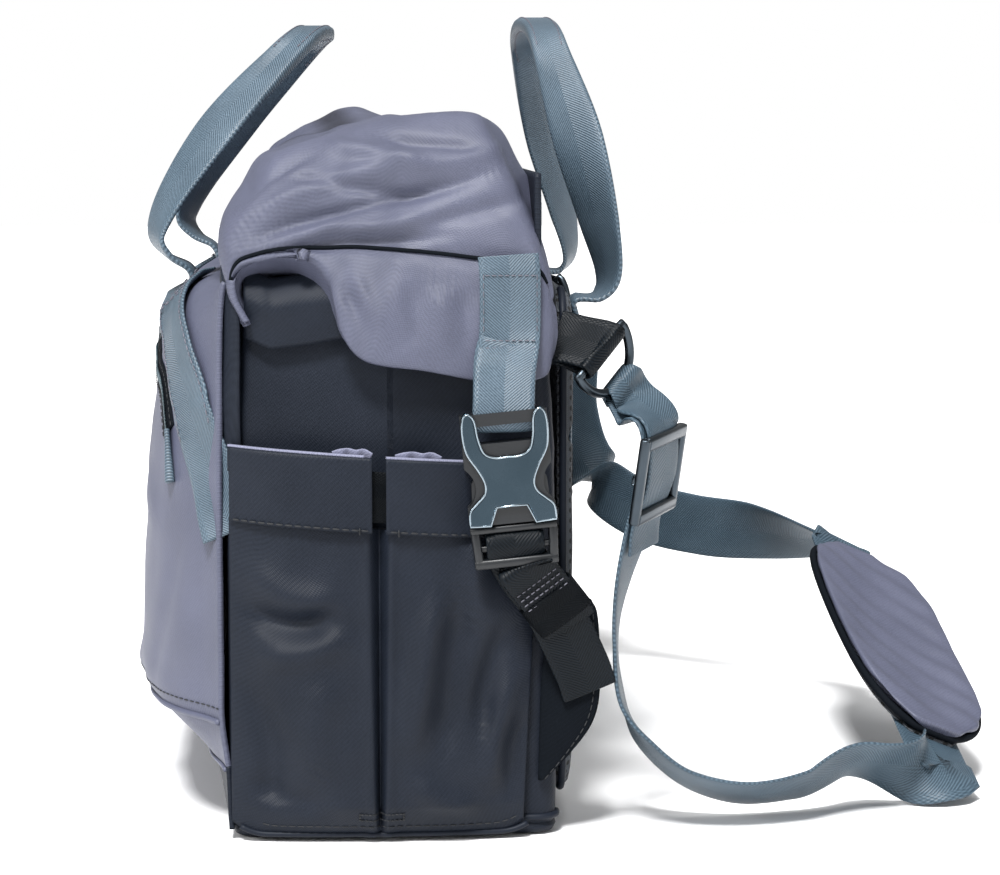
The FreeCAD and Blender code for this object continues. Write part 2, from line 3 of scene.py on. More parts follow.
import bpy
import numpy as np
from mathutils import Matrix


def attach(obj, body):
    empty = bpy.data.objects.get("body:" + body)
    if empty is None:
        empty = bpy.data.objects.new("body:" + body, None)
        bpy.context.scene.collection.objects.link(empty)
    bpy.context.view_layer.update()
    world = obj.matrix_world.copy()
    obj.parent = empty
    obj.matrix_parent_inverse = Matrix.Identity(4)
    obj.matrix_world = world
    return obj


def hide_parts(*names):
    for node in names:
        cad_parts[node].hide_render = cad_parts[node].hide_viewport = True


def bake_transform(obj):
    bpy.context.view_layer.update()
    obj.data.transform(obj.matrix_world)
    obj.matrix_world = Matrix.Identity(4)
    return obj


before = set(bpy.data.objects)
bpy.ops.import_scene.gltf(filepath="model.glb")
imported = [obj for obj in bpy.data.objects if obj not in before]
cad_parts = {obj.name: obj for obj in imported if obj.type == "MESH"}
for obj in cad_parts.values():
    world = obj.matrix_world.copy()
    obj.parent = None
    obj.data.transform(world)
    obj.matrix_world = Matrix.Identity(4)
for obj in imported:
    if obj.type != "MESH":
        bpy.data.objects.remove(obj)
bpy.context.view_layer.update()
mm = 0.001                      # every shape below is worked out in millimetres
sides = {"right": 1, "left": -1}


# shader expressions

class Link:
    # A socket that can be used in sums: each operation adds one Math node.
    def __init__(self, look, socket):
        self.look, self.socket = look, socket

    def math(self, operation, *values):
        return self.look.node("ShaderNodeMath", {"operation": operation}, values)

    def __add__(self, other):
        return self.math("ADD", self, other)

    def __sub__(self, other):
        return self.math("SUBTRACT", self, other)

    def __rsub__(self, other):
        return self.math("SUBTRACT", other, self)

    def __mul__(self, other):
        return self.math("MULTIPLY", self, other)

    def __abs__(self):
        return self.math("ABSOLUTE", self)

    __radd__ = __add__
    __rmul__ = __mul__

    def sine(self):
        return self.math("SINE", self)

    def between(self, low, high):
        # 0 below low, 1 above high and a soft step between them
        values = {"Value": self, "From Min": low, "From Max": high}
        return self.look.node("ShaderNodeMapRange", {"interpolation_type": "SMOOTHSTEP"}, values)


class Look:
    # One material, built around a Principled shader.
    def __init__(self, name, coordinates="UV"):
        self.material = bpy.data.materials.new(name)
        self.material.use_nodes = True
        self.tree = self.material.node_tree
        self.shader = self.tree.nodes["Principled BSDF"]
        place = self.node("ShaderNodeTexCoord", {}, {}, coordinates)
        self.place = place
        parts = self.tree.nodes.new("ShaderNodeSeparateXYZ")
        self.tree.links.new(place.socket, parts.inputs[0])
        self.x, self.y, self.z = (Link(self, out) for out in parts.outputs)

    def node(self, kind, settings, values, output=0):
        # Any node: its settings first, then the values or links of its sockets.
        node = self.tree.nodes.new(kind)
        for key, value in settings.items():
            setattr(node, key, value)
        pairs = values.items() if isinstance(values, dict) else enumerate(values)
        for key, value in pairs:
            if isinstance(value, Link):
                self.tree.links.new(value.socket, node.inputs[key])
            else:
                node.inputs[key].default_value = value
        return Link(self, node.outputs[output])

    def noise(self, scale, detail=2.0, rough=0.5):
        values = {"Vector": self.place, "Scale": scale, "Detail": detail, "Roughness": rough}
        return self.node("ShaderNodeTexNoise", {}, values)

    def blend(self, factor, low, high):
        settings = {"data_type": "RGBA"}
        return self.node("ShaderNodeMix", settings, {0: factor, 6: low, 7: high}, 2)

    def bump(self, height, depth, strength=1.0):
        values = {"Height": height, "Distance": depth, "Strength": strength}
        self.set("Normal", self.node("ShaderNodeBump", {}, values))

    def set(self, socket, value):
        if isinstance(value, Link):
            self.tree.links.new(value.socket, self.shader.inputs[socket])
        else:
            self.shader.inputs[socket].default_value = value


def paint(red, green, blue):
    # An 8-bit screen colour as the linear colour that a shader takes.
    low = np.array([red, green, blue]) / 255
    linear = np.where(low <= 0.04045, low / 12.92, ((low + 0.055) / 1.055) ** 2.4)
    return (*linear.tolist(), 1.0)


# finishes

cloth = {
    "slate_fabric": dict(low=paint(58, 61, 76), high=paint(90, 93, 112), pitch=0.85, rough=0.5, shine=0.38),
    "charcoal_fabric": dict(low=paint(10, 15, 23), high=paint(32, 37, 47), pitch=0.95, rough=0.5, shine=0.14),
    "dark_lining": dict(low=paint(5, 8, 12), high=paint(15, 19, 25), pitch=0.9, rough=0.78, shine=0.06),
    "pocket_lining": dict(low=paint(96, 98, 118), high=paint(140, 142, 162), pitch=0.7, rough=0.7, shine=0.2),
}


def clothLook(name, low, high, pitch, rough, shine):
    # Twill: diagonal ribs crossed by a slower thread, both one pitch apart, over slow patches of wear.
    look = Look(name)
    turns = 2 * math.pi / (pitch * mm)
    ribs = ((look.x + look.y) * turns).sine()
    threads = ((look.x - look.y) * (turns / 2)).sine()
    weave = ribs * 0.6 + threads * 0.4
    patches = look.noise(26.0, 3.0)
    fibres = look.noise(900.0, 2.0)
    shade = (weave * 0.16 + patches * 0.55 + fibres * 0.35).between(-0.05, 0.95)
    look.set("Base Color", look.blend(shade, low, high))
    look.set("Roughness", fibres * 0.12 + (rough - 0.06))
    look.bump(weave * 0.5 + fibres * 0.35, 0.09 * mm, 0.85)
    look.set("Specular IOR Level", shine)
    return look.material


webbingKinds = {
    "blue_webbing": dict(low=paint(38, 52, 63), high=paint(98, 116, 130), rib=1.15, half=12.5, rough=0.42,
                         shine=0.4),
    "teal_webbing": dict(low=paint(34, 49, 60), high=paint(84, 102, 115), rib=1.25, half=15.0, rough=0.44,
                         shine=0.3),
    "black_webbing": dict(low=paint(1, 4, 7), high=paint(14, 21, 28), rib=1.3, half=11.0, rough=0.45,
                         shine=0.14),
    "elastic": dict(low=paint(1, 3, 5), high=paint(10, 14, 19), rib=0.9, half=7.0, rough=0.6, shine=0.08),
}


def webbingLook(name, low, high, rib, half, rough, shine):
    # Ribs across the strap, chevrons towards its middle and a plain bound edge. x is across, y along.
    look = Look(name)
    turns = 2 * math.pi / (rib * mm)
    across = abs(look.x)
    edge = (across * (1 / (half * mm))).between(0.72, 0.80)
    chevrons = ((look.y + across * 0.9) * turns).sine()
    plain = (look.y * (turns * 0.62)).sine() * (look.x * (turns * 0.9)).sine()
    ribs = chevrons * (1 - edge) + plain * edge
    fibres = look.noise(1100.0, 2.0)
    wear = look.noise(38.0, 3.0)
    shade = (ribs * 0.22 + fibres * 0.4 + wear * 0.45).between(0.0, 1.0)
    look.set("Base Color", look.blend(shade, low, high))
    look.set("Roughness", fibres * 0.16 + (rough - 0.08))
    look.bump(ribs * 0.5 + fibres * 0.3, 0.16 * mm, 0.9)
    look.set("Specular IOR Level", shine)
    return look.material


def meshLook(name, coordinates):
    # Air mesh: three crossed waves peak on a hexagonal lattice, where the holes are.
    look = Look(name, coordinates)
    u, v = (look.x, look.z) if coordinates == "Object" else (look.x, look.y)
    turns = 2 * math.pi / (3.4 * mm)
    first = (u * turns + math.pi / 2).sine()
    second = ((u * 0.5 + v * 0.866) * turns + math.pi / 2).sine()
    third = ((u * 0.5 - v * 0.866) * turns + math.pi / 2).sine()
    hole = (first + second + third).between(0.2, 1.3)
    knit = ((u + v) * (2 * math.pi / (0.7 * mm))).sine() * 0.5 + 0.5
    yarn = look.blend(knit, paint(40, 44, 50), paint(74, 79, 86))
    look.set("Base Color", look.blend(hole, yarn, paint(8, 9, 11)))
    look.set("Roughness", 0.8)
    look.bump(knit * 0.15 + (1 - hole), 0.7 * mm)
    return look.material


def metalLook(name, low, high, rough):
    # Satin casting: fine grain and slow smudges in the roughness.
    look = Look(name, "Object")
    grain = look.noise(2600.0, 1.0)
    smudge = look.noise(60.0, 3.0)
    look.set("Base Color", look.blend(smudge, low, high))
    look.set("Metallic", 1.0)
    look.set("Roughness", smudge * 0.16 + grain * 0.08 + (rough - 0.12))
    look.bump(grain, 0.012 * mm, 0.6)
    return look.material


def plasticLook(name, low, high, rough):
    # Moulded nylon: spark-eroded grain that catches a soft highlight.
    look = Look(name, "Object")
    grain = look.noise(2200.0, 2.0)
    look.set("Base Color", look.blend(grain, low, high))
    look.set("Roughness", grain * 0.15 + (rough - 0.07))
    look.bump(grain, 0.03 * mm, 0.8)
    return look.material


def threadLook(name, low, high):
    # Twisted thread: a steep diagonal wave along each stitch.
    look = Look(name, "Object")
    twist = ((look.x + look.y * 0.7 + look.z) * (2 * math.pi / (0.35 * mm))).sine() * 0.5 + 0.5
    look.set("Base Color", look.blend(twist, low, high))
    look.set("Roughness", 0.6)
    look.bump(twist, 0.05 * mm)
    return look.material


looks = {name: clothLook(name, **values) for name, values in cloth.items()}
looks.update({name: webbingLook(name, **values) for name, values in webbingKinds.items()})
looks["air_mesh"] = meshLook("air_mesh", "UV")
looks["back_air_mesh"] = meshLook("back_air_mesh", "Object")
looks["satin_metal"] = metalLook("satin_metal", paint(44, 56, 64), paint(64, 77, 86), 0.26)
# painted highlight: a pale metal used only for the buckle face's rim, standing in for the light its edge
# reflects
looks["painted_highlight_metal"] = metalLook("painted_highlight_metal", paint(120, 134, 144), paint(160, 172, 180), 0.22)
looks["gunmetal"] = metalLook("gunmetal", paint(52, 59, 65), paint(78, 86, 93), 0.32)
looks["zip_metal"] = metalLook("zip_metal", paint(120, 124, 128), paint(168, 171, 174), 0.32)
looks["black_plastic"] = plasticLook("black_plastic", paint(6, 9, 12), paint(16, 20, 25), 0.4)
looks["zip_coil"] = plasticLook("zip_coil", paint(52, 70, 78), paint(84, 102, 110), 0.5)
looks["dark_thread"] = threadLook("dark_thread", paint(3, 5, 8), paint(20, 24, 30))
looks["pale_thread"] = threadLook("pale_thread", paint(64, 64, 74), paint(108, 107, 118))
looks["board"] = plasticLook("board", paint(30, 30, 32), paint(48, 48, 50), 0.6)
print("finishes ready", len(looks))


# shapes

def unit(vectors):
    return vectors / np.maximum(np.linalg.norm(vectors, axis=-1, keepdims=True), 1e-9)


def curveAt(points, t):
    # A Catmull-Rom curve through points on the first axis, at parameters t counted in points.
    p = np.asarray(points, float)
    spans = len(p) - 1
    p = np.concatenate([2 * p[:1] - p[1:2], p, 2 * p[-1:] - p[-2:-1]])
    k = np.clip(t.astype(int), 0, spans - 1)
    f = (t - k).reshape((-1,) + (1,) * (p.ndim - 1))
    a, b, c, d = p[k], p[k + 1], p[k + 2], p[k + 3]
    square, cube = 2 * a - 5 * b + 4 * c - d, 3 * b - a - 3 * c + d
    return 0.5 * (2 * b + (c - a) * f + square * f ** 2 + cube * f ** 3)


def softPath(points, count):
    # The same curve at points evenly spaced by arc length over the first three columns.
    curve = curveAt(points, np.linspace(0, len(points) - 1, count * 6))
    run = np.concatenate([[0], np.cumsum(np.linalg.norm(np.diff(curve[:, :3], axis=0), axis=1))])
    even = np.linspace(0, run[-1], count)
    return np.stack([np.interp(even, run, column) for column in curve.T], axis=1)


def straightPath(points, count):
    # A polyline resampled evenly by arc length.
    p = np.asarray(points, float)
    run = np.concatenate([[0], np.cumsum(np.linalg.norm(np.diff(p, axis=0), axis=1))])
    return np.stack([np.interp(np.linspace(0, run[-1], count), run, column) for column in p.T], axis=1)


def loft(stations, rows, columns):
    # A surface through stations: curves across each station, then curves along them.
    stations = np.asarray(stations, float)
    across = curveAt(stations.transpose(1, 0, 2), np.linspace(0, stations.shape[1] - 1, columns))
    return curveAt(across.transpose(1, 0, 2), np.linspace(0, stations.shape[0] - 1, rows))


def waves(u, v, size, seed):
    # Soft cloth unevenness between -1 and 1: six sine waves of about one size in seeded directions.
    dice = np.random.default_rng(seed)
    total = 0
    for turn, stretch, phase in dice.random((6, 3)):
        angle = turn * math.pi
        along = u * math.cos(angle) + v * math.sin(angle)
        total = total + np.sin(along * 2 * math.pi / (size * (0.7 + stretch)) + phase * 6.283)
    return total / 6


def crease(u, v, line, width, height):
    # A ridge, or a valley if height is negative, along a line in (u, v): a bell of the distance to it,
    # fading to nothing over the last third at both ends.
    line = np.asarray(line, float)
    path = straightPath(line if len(line) < 3 else curveAt(line, np.linspace(0, len(line) - 1, 200)), 40)
    flat = np.stack([u, v], -1).reshape(-1, 1, 2)
    gap = np.linalg.norm(flat - path[None], axis=2)
    nearest = gap.argmin(1)
    along = unit(np.gradient(path, axis=0))[nearest]
    offset = flat[:, 0] - path[nearest]
    aside = offset[:, 0] * along[:, 1] - offset[:, 1] * along[:, 0]
    fade = np.clip(np.minimum(nearest, 39 - nearest) / 13, 0, 1)
    bell = height * np.exp(-(aside / width) ** 2) * fade * fade * (3 - 2 * fade)
    return bell.reshape(u.shape)


def gridNormals(grid):
    return unit(np.cross(np.gradient(grid, axis=0), np.gradient(grid, axis=1)))


def gridFaces(rows, columns, ring=False, tube=False):
    # Quads of a grid. Its columns close on themselves in a tube, and its rows in a ring.
    i, j = np.meshgrid(np.arange(rows if ring else rows - 1), np.arange(columns if tube else columns - 1),
                       indexing="ij")
    down, right = (i + 1) % rows, (j + 1) % columns
    return np.stack([i * columns + j, down * columns + j, down * columns + right, i * columns + right],
                    -1).reshape(-1, 4)


def piece(name, points, faces, look, body=None, uv=None, inside=None, caps=(), side=1):
    # A mesh object with its faces turned away from the inside point, or from its own middle.
    points = np.asarray(points, float).reshape(-1, 3) * (side, 1, 1)
    corners = points[faces]
    middle = points.mean(0) if inside is None else np.asarray(inside, float)
    normals = np.cross(corners[:, 2] - corners[:, 0], corners[:, 3] - corners[:, 1])
    caps = [list(cap) for cap in caps]
    if (normals * (corners.mean(1) - middle)).sum() < 0:
        faces = faces[:, ::-1]
        caps = [cap[::-1] for cap in caps]
    mesh = bpy.data.meshes.new(name)
    mesh.from_pydata((points * mm).tolist(), [], faces.tolist() + caps)
    if uv is not None:
        corner = np.empty(len(mesh.loops), int)
        mesh.loops.foreach_get("vertex_index", corner)
        layer = mesh.uv_layers.new(name="cloth")
        layer.data.foreach_set("uv", (uv.reshape(-1, 2) * mm)[corner].ravel())
    mesh.shade_smooth()
    mesh.materials.append(looks[look])
    thing = bpy.data.objects.new(name, mesh)
    bpy.context.scene.collection.objects.link(thing)
    if body:
        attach(thing, body)
    return thing


def clothUV(grid):
    # Lengths run along the cloth: down the columns and along the rows, from the middle of each.
    down = np.linalg.norm(np.diff(grid, axis=0, prepend=grid[:1]), axis=2).cumsum(0)
    right = np.linalg.norm(np.diff(grid, axis=1, prepend=grid[:, :1]), axis=2).cumsum(1)
    right = right - right[:, right.shape[1] // 2, None]
    return np.stack([right, down], -1)


def sheet(name, grid, look, body, thickness, side=1, inside=(0, 0, 120), ring=False, tubed=False):
    # A piece of cloth on a grid, thickened inwards.
    thing = piece(name, grid, gridFaces(*grid.shape[:2], ring, tubed), look, body, clothUV(grid),
                  np.array(inside) * (side, 1, 1), side=side)
    wall = thing.modifiers.new("wall", "SOLIDIFY")
    wall.thickness = thickness * mm
    wall.offset = -1
    return thing


def strap(name, route, across, width, thickness, look, body=None, count=80, side=1, curl=0.0,
          corners=22, edge=0.3, face=0.55):
    # Webbing: a flat rounded section, a superellipse, carried along the route with its width along across.
    # width and thickness may be one value or one for each point of the route.
    route = np.asarray(route, float)
    columns = [route, np.broadcast_to(np.asarray(across, float), route.shape)]
    columns += [np.broadcast_to(np.asarray(size, float), len(route))[:, None] for size in (width, thickness)]
    line = softPath(np.hstack(columns), count)
    centre, along = line[:, :3], unit(np.gradient(line[:, :3], axis=0))
    wide = unit(line[:, 3:6] - along * (line[:, 3:6] * along).sum(1, keepdims=True))
    out = np.cross(along, wide)
    angle = np.arange(corners) * 2 * math.pi / corners
    s = np.sign(np.cos(angle)) * abs(np.cos(angle)) ** edge / 2
    t = np.sign(np.sin(angle)) * abs(np.sin(angle)) ** face / 2
    s = s[None] * line[:, 6, None]
    t = t[None] * line[:, 7, None] + curl * (2 * s / line[:, 6, None].max()) ** 2
    grid = centre[:, None] + wide[:, None] * s[..., None] + out[:, None] * t[..., None]
    run = np.linalg.norm(np.diff(centre, axis=0, prepend=centre[:1]), axis=1).cumsum()
    uv = np.stack([s, np.broadcast_to(run[:, None], s.shape)], -1)
    total = count * corners
    return piece(name, grid, gridFaces(count, corners, tube=True), look, body, uv, side=side,
                 caps=[range(corners), range(total - 1, total - corners - 1, -1)])


def tube(name, path, radius, look, body=None, slot=None, ring=False, side=1, corners=10):
    # A round cord or wire along a path.
    path = np.asarray(path, float)
    along = np.roll(path, -1, 0) - np.roll(path, 1, 0) if ring else np.gradient(path, axis=0)
    along = unit(along)
    guide = np.where(abs(along[:, :1]) > 0.9, [[0.0, 0.0, 1.0]], [[1.0, 0.0, 0.0]])
    guide = np.broadcast_to(guide[len(guide) // 2], along.shape)
    wide = unit(np.cross(along, guide))
    out = np.cross(along, wide)
    angle = (np.arange(corners) * 2 * math.pi / corners)[None, :, None]
    grid = path[:, None] + (wide[:, None] * np.cos(angle) + out[:, None] * np.sin(angle)) * radius
    total = len(path) * corners
    caps = [] if ring else [range(corners), range(total - 1, total - corners - 1, -1)]
    return piece(name, grid, gridFaces(len(path), corners, ring, True), look, body, side=side,
                 caps=caps)


def stitchRun(path, up, length=2.6, gap=0.9, radius=0.33, turned=False, lean=0.0):
    # Stitches one after another: each is a small four-sided spindle along the path, or across it if turned.
    path = np.asarray(path, float)
    total = np.linalg.norm(np.diff(path, axis=0), axis=1).sum()
    pitch = gap + (radius * 2 if turned else length)
    middle = straightPath(path, max(int(total / pitch), 2) * 2 + 1)[1::2]
    fine = straightPath(path, 200)
    near = np.linalg.norm(middle[:, None] - fine[None], axis=2).argmin(1)
    along = unit(np.gradient(fine, axis=0))[near]
    up = unit(np.broadcast_to(np.asarray(up, float), along.shape))
    wide = unit(np.cross(up, along))
    if turned:
        along, wide = wide, along
    if lean:
        along = unit(along + wide * lean)
    ends = np.repeat([-0.5, -0.32, 0.32, 0.5], 4) * length
    swell = np.repeat([0.35, 1.0, 1.0, 0.35], 4) * radius
    angle = np.tile(np.arange(4) * math.pi / 2 + math.pi / 4, 4)
    points = (middle[:, None] + along[:, None] * ends[None, :, None]
              + wide[:, None] * (swell * np.cos(angle))[None, :, None]
              + np.cross(along, wide)[:, None] * (swell * np.sin(angle))[None, :, None])
    one = np.vstack([gridFaces(4, 4, tube=True), [[3, 2, 1, 0], [12, 13, 14, 15]]])
    faces = (one[None] + np.arange(len(middle))[:, None, None] * 16).reshape(-1, 4)
    return points.reshape(-1, 3), faces


def joined(parts):
    # Several (points, faces) pairs as one.
    points, faces, start = [], [], 0
    for p, f in parts:
        points.append(p)
        faces.append(f + start)
        start += len(p)
    return np.vstack(points), np.vstack(faces)


def sewn(name, runs, look, body, side=1):
    points, faces = joined(runs)
    return piece(name, points, faces, look, body, side=side)


def bar(a, b, across, width, height, roundness=0.5):
    # A moulded bar from a to b: a superellipse section that draws in at both ends.
    a, b = np.asarray(a, float), np.asarray(b, float)
    along = unit(b - a)
    wide = unit(np.asarray(across, float) - along * (np.asarray(across, float) @ along))
    out = np.cross(along, wide)
    angle = np.arange(16) * math.pi / 8
    s = np.sign(np.cos(angle)) * abs(np.cos(angle)) ** roundness * width / 2
    t = np.sign(np.sin(angle)) * abs(np.sin(angle)) ** roundness * height / 2
    draw = min(width, height) * 0.22
    reach = np.linalg.norm(b - a)
    stops = np.array([0, draw * 0.3, draw, reach - draw, reach - draw * 0.3, reach])
    scale = np.array([0.72, 0.93, 1, 1, 0.93, 0.72])
    grid = (a + along * stops[:, None, None] + (wide * s[None, :, None] + out * t[None, :, None])
            * scale[:, None, None])
    points = np.vstack([grid.reshape(-1, 3), a, b])
    fan = np.arange(16)
    ends = [np.stack([np.full(16, 96), (fan + 1) % 16, fan, fan], 1),
            np.stack([np.full(16, 97), 80 + fan, 80 + (fan + 1) % 16, 80 + (fan + 1) % 16], 1)]
    return points, np.vstack([gridFaces(6, 16, tube=True)] + ends)


def roundedLoop(halfX, halfY, radius, count):
    # A rectangle with round corners, counter-clockwise from the middle of +X, evenly divided.
    turn = np.linspace(0, math.pi / 2, 12)
    loop = [(halfX, 0)]
    for k, (sx, sy) in enumerate(((1, 1), (-1, 1), (-1, -1), (1, -1))):
        angle = turn + k * math.pi / 2
        loop += list(zip(sx * (halfX - radius) + radius * np.cos(angle),
                         sy * (halfY - radius) + radius * np.sin(angle)))
    loop.append((halfX, 0))
    return straightPath(loop, count + 1)[:-1]


def dress(node, look):
    # A node that stays as the frame gives it, in one of the finishes above.
    slots = bpy.data.objects[node].data.materials
    slots.clear()
    slots.append(looks[look])


def bounded(values, low, high):
    # 0 at low, 1 at high and straight between them
    return np.clip((values - low) / (high - low), 0, 1)


# camera, floor and light

view = {"place": (1.1968, -0.0141, 0.2693), "azimuth": 87.0, "down": 6.5, "lens": 100.0}
camera = bpy.data.objects.new("camera", bpy.data.cameras.new("camera"))
camera.location = view["place"]
camera.rotation_euler = (math.radians(90 - view["down"]), 0, math.radians(view["azimuth"]))
camera.data.lens = view["lens"]
camera.data.sensor_width = 36.0
bpy.context.scene.collection.objects.link(camera)
bpy.context.scene.camera = camera

studio = {"sky": 0.34, "sun": 5.6, "spread": 14.0}
lamps = {
    "sun": dict(place=(0.95, -0.34, 1.75), size=0, power=studio["sun"]),
    "key": dict(place=(1.3, -1.3, 1.0), size=0.6, power=13.0),
    "fill": dict(place=(1.5, 1.4, 0.7), size=0.8, power=4.0),
    "top": dict(place=(0.1, 0.2, 1.6), size=0.8, power=7.0),
}
for name, lamp in lamps.items():
    light = bpy.data.objects.new(name, bpy.data.lights.new(name, "AREA" if lamp["size"] else "SUN"))
    if lamp["size"]:
        light.data.size = lamp["size"]
    else:
        light.data.angle = math.radians(studio["spread"])
    light.data.energy = lamp["power"]
    light.location = lamp["place"]
    aim = np.array([0, 0, 0.12]) - lamp["place"]
    light.rotation_euler = (math.pi - math.acos(aim[2] / np.linalg.norm(aim)), 0,
                            math.atan2(aim[1], aim[0]) - math.pi / 2)
    bpy.context.scene.collection.objects.link(light)

world = bpy.data.worlds.new("studio")
world.use_nodes = True
sky = world.node_tree.nodes["Background"]
sky.inputs["Color"].default_value = (1, 1, 1, 1)
rays = world.node_tree.nodes.new("ShaderNodeLightPath")
dim = world.node_tree.nodes.new("ShaderNodeMapRange")     # a white backdrop that lights the bag softly
dim.inputs["To Min"].default_value = studio["sky"]
dim.inputs["To Max"].default_value = 1.0
world.node_tree.links.new(rays.outputs["Is Camera Ray"], dim.inputs["Value"])
world.node_tree.links.new(dim.outputs[0], sky.inputs["Strength"])
bpy.context.scene.world = world
bpy.context.scene.view_settings.view_transform = "Standard"

floorMesh = bpy.data.meshes.new("floor")
reach = 6.0
floorMesh.from_pydata([(-reach, -reach, 0), (reach, -reach, 0), (reach, reach, 0), (-reach, reach, 0)], [],
                      [(0, 1, 2, 3)])
floor = bpy.data.objects.new("floor", floorMesh)
floorLook = Look("floor", "Object")
floorLook.set("Base Color", floorLook.blend(floorLook.noise(3.0), paint(250, 250, 251), paint(254, 254, 254)))
floorLook.set("Roughness", 0.9)
floorMesh.materials.append(floorLook.material)
bpy.context.scene.collection.objects.link(floor)
print("camera, floor and light ready")


# body shell

body = {"halfX": 170.0, "halfY": 62.0, "corner": 8.0, "top": 204.0, "wall": 3.0, "lean": 6.0}


def bodyInset(z):
    # The wall draws in at the base's edge and again towards the collar.
    return 4.0 * (1 - bounded(z, 0, 9)) ** 2 + body["lean"] * bounded(z, 120, 204) ** 2


def makeBody():
    # The shell is the plan loop carried up the bag, with cloth waves.
    z = np.linspace(2, body["top"], 90)
    around = 400                # points of the plan loop, about 2.25 mm apart
    half = np.array([body["halfX"], body["halfY"]])
    loop = roundedLoop(body["halfX"], body["halfY"], body["corner"], around)
    away = unit(loop - np.clip(loop, 20 - half, half - 20))
    run = np.arange(around) * 2.25
    u, v = np.meshgrid(run, z)
    wave = waves(u, v, 55, 3) * 1.1 + waves(u, v, 21, 5) * 0.45
    wave = wave * bounded(v, 0, 25) - 1.0
    inset = bodyInset(v) - wave
    x = loop[None, :, 0] - away[None, :, 0] * np.minimum(inset, 12)
    y = loop[None, :, 1] - away[None, :, 1] * inset
    y = np.where(y > 61.5, 61.5, y)
    grid = np.stack([x, y, v], -1)
    shell = sheet("body_shell", grid, "charcoal_fabric", "bag", body["wall"], tubed=True)
    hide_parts("side_panel_right", "side_panel_left", "front_panel", "back_panel")
    rings = [(14, 0.0), (5, 0.0), (1.6, 1.2), (0.6, 3.4), (2.5, 6.0), (8, 8.0)]
    base = np.stack([np.column_stack([loop * (1 - inset / half), np.full(around, height)])
                     for inset, height in rings])
    last = len(rings) * around - 1
    floorPiece = piece("base", base, gridFaces(len(rings), around, tube=True), "charcoal_fabric", "bag",
                       clothUV(base), caps=[range(around), range(last, last - around, -1)])
    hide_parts("base_panel")
    dress("base_board", "board")
    line = np.column_stack([loop * 0.995, np.full(around, 7.2)])
    tube("base_piping", line, 1.3, "charcoal_fabric", "bag", "charcoal_fabric", ring=True)


makeBody()
print("body shell ready")


# front pocket

pocket = {
    "back": -62.3,
    # out from the panel, height
    "rise": [(0, 3), (4.5, 10), (7.5, 20), (13, 28), (38.0, 46), (40.0, 62), (39.5, 90), (37.2, 125),
             (33.5, 162), (30.5, 184), (25.5, 198), (16.0, 207), (3.0, 211)],
    # x, share of the rise
    "plan": [(0, 1.0), (40, 0.99), (75, 0.95), (112, 0.86), (140, 0.62), (156, 0.34), (168, 0.03)],
}


def pocketShare(x):
    xs, share = np.array(pocket["plan"]).T
    return np.interp(abs(x), xs, share)


def pocketOut(x, z):
    # How far the pocket stands from the panel: the rise at that height times the share at that x.
    out, height = softPath(np.array([(a, b, 0) for a, b in pocket["rise"]]), 120)[:, :2].T
    smoothShare = sum(pocketShare(x + shift) for shift in (-9, -4.5, 0, 4.5, 9)) / 5
    return np.interp(z, height, out) * smoothShare


def pocketPoint(x, z, lift=0.0):
    x, z = np.broadcast_arrays(np.asarray(x, float), np.asarray(z, float))
    wave = waves(x, z, 70, 11) * 1.3 + waves(x, z, 26, 12) * 0.4
    for line, width, height in frontFolds:
        wave = wave + crease(x, z, line, width, height)
    out = pocketOut(x, z)
    return np.stack([x, pocket["back"] - out - lift - wave * bounded(out, 0, 12) * 0.8, z], -1)


frontFolds = [([(60, 46), (90, 58), (128, 60)], 7, 2.0), ([(-60, 46), (-90, 60), (-128, 58)], 7, 2.0),
              ([(70, 160), (100, 130), (140, 110)], 8, 1.6), ([(-70, 160), (-100, 130), (-140, 112)], 8, 1.6),
              ([(-30, 60), (0, 90), (38, 96)], 10, 1.2), ([(118, 48), (135, 80), (150, 120)], 5, -1.6)]


def makeFrontPocket():
    columns = 190
    xs = np.linspace(-169.5, 169.5, columns)
    low, edge, top = 4.0, 45.0, 210.5
    z = np.concatenate([np.linspace(low, edge - 1.5, 32), np.linspace(edge - 0.5, top, 108)])
    x, zz = np.meshgrid(xs, z)
    upper = pocketPoint(x, zz)
    step = 18                  # rows of the upright strip below the slope
    face = sheet("front_pocket_cloth", upper[step:], "slate_fabric", "bag", 2.0)
    under = sheet("front_pocket_base", upper[:step + 2], "charcoal_fabric", "bag", 2.0)
    fold = pocketPoint(xs, np.full(columns, float(z[step])), 0.4)
    tube("front_pocket_lower_seam", fold, 0.8, "slate_fabric", "bag", "slate_fabric")
    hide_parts("front_pocket")
    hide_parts("front_pocket_underside")
    seam = pocketPoint(xs, np.full(columns, edge), 0.6)
    tube("front_pocket_piping", seam, 1.1, "slate_fabric", "bag", "slate_fabric")
    row = pocketPoint(xs, np.full(columns, edge + 5), 0.15)
    sewn("front_pocket_stitching", [stitchRun(row, (0, -1, 0))], "dark_thread", "bag")


zipArch = [(-134, 151), (-124, 166), (-108, 172), (-75, 177), (0, 177), (75, 177), (108, 172), (124, 166),
           (134, 151)]


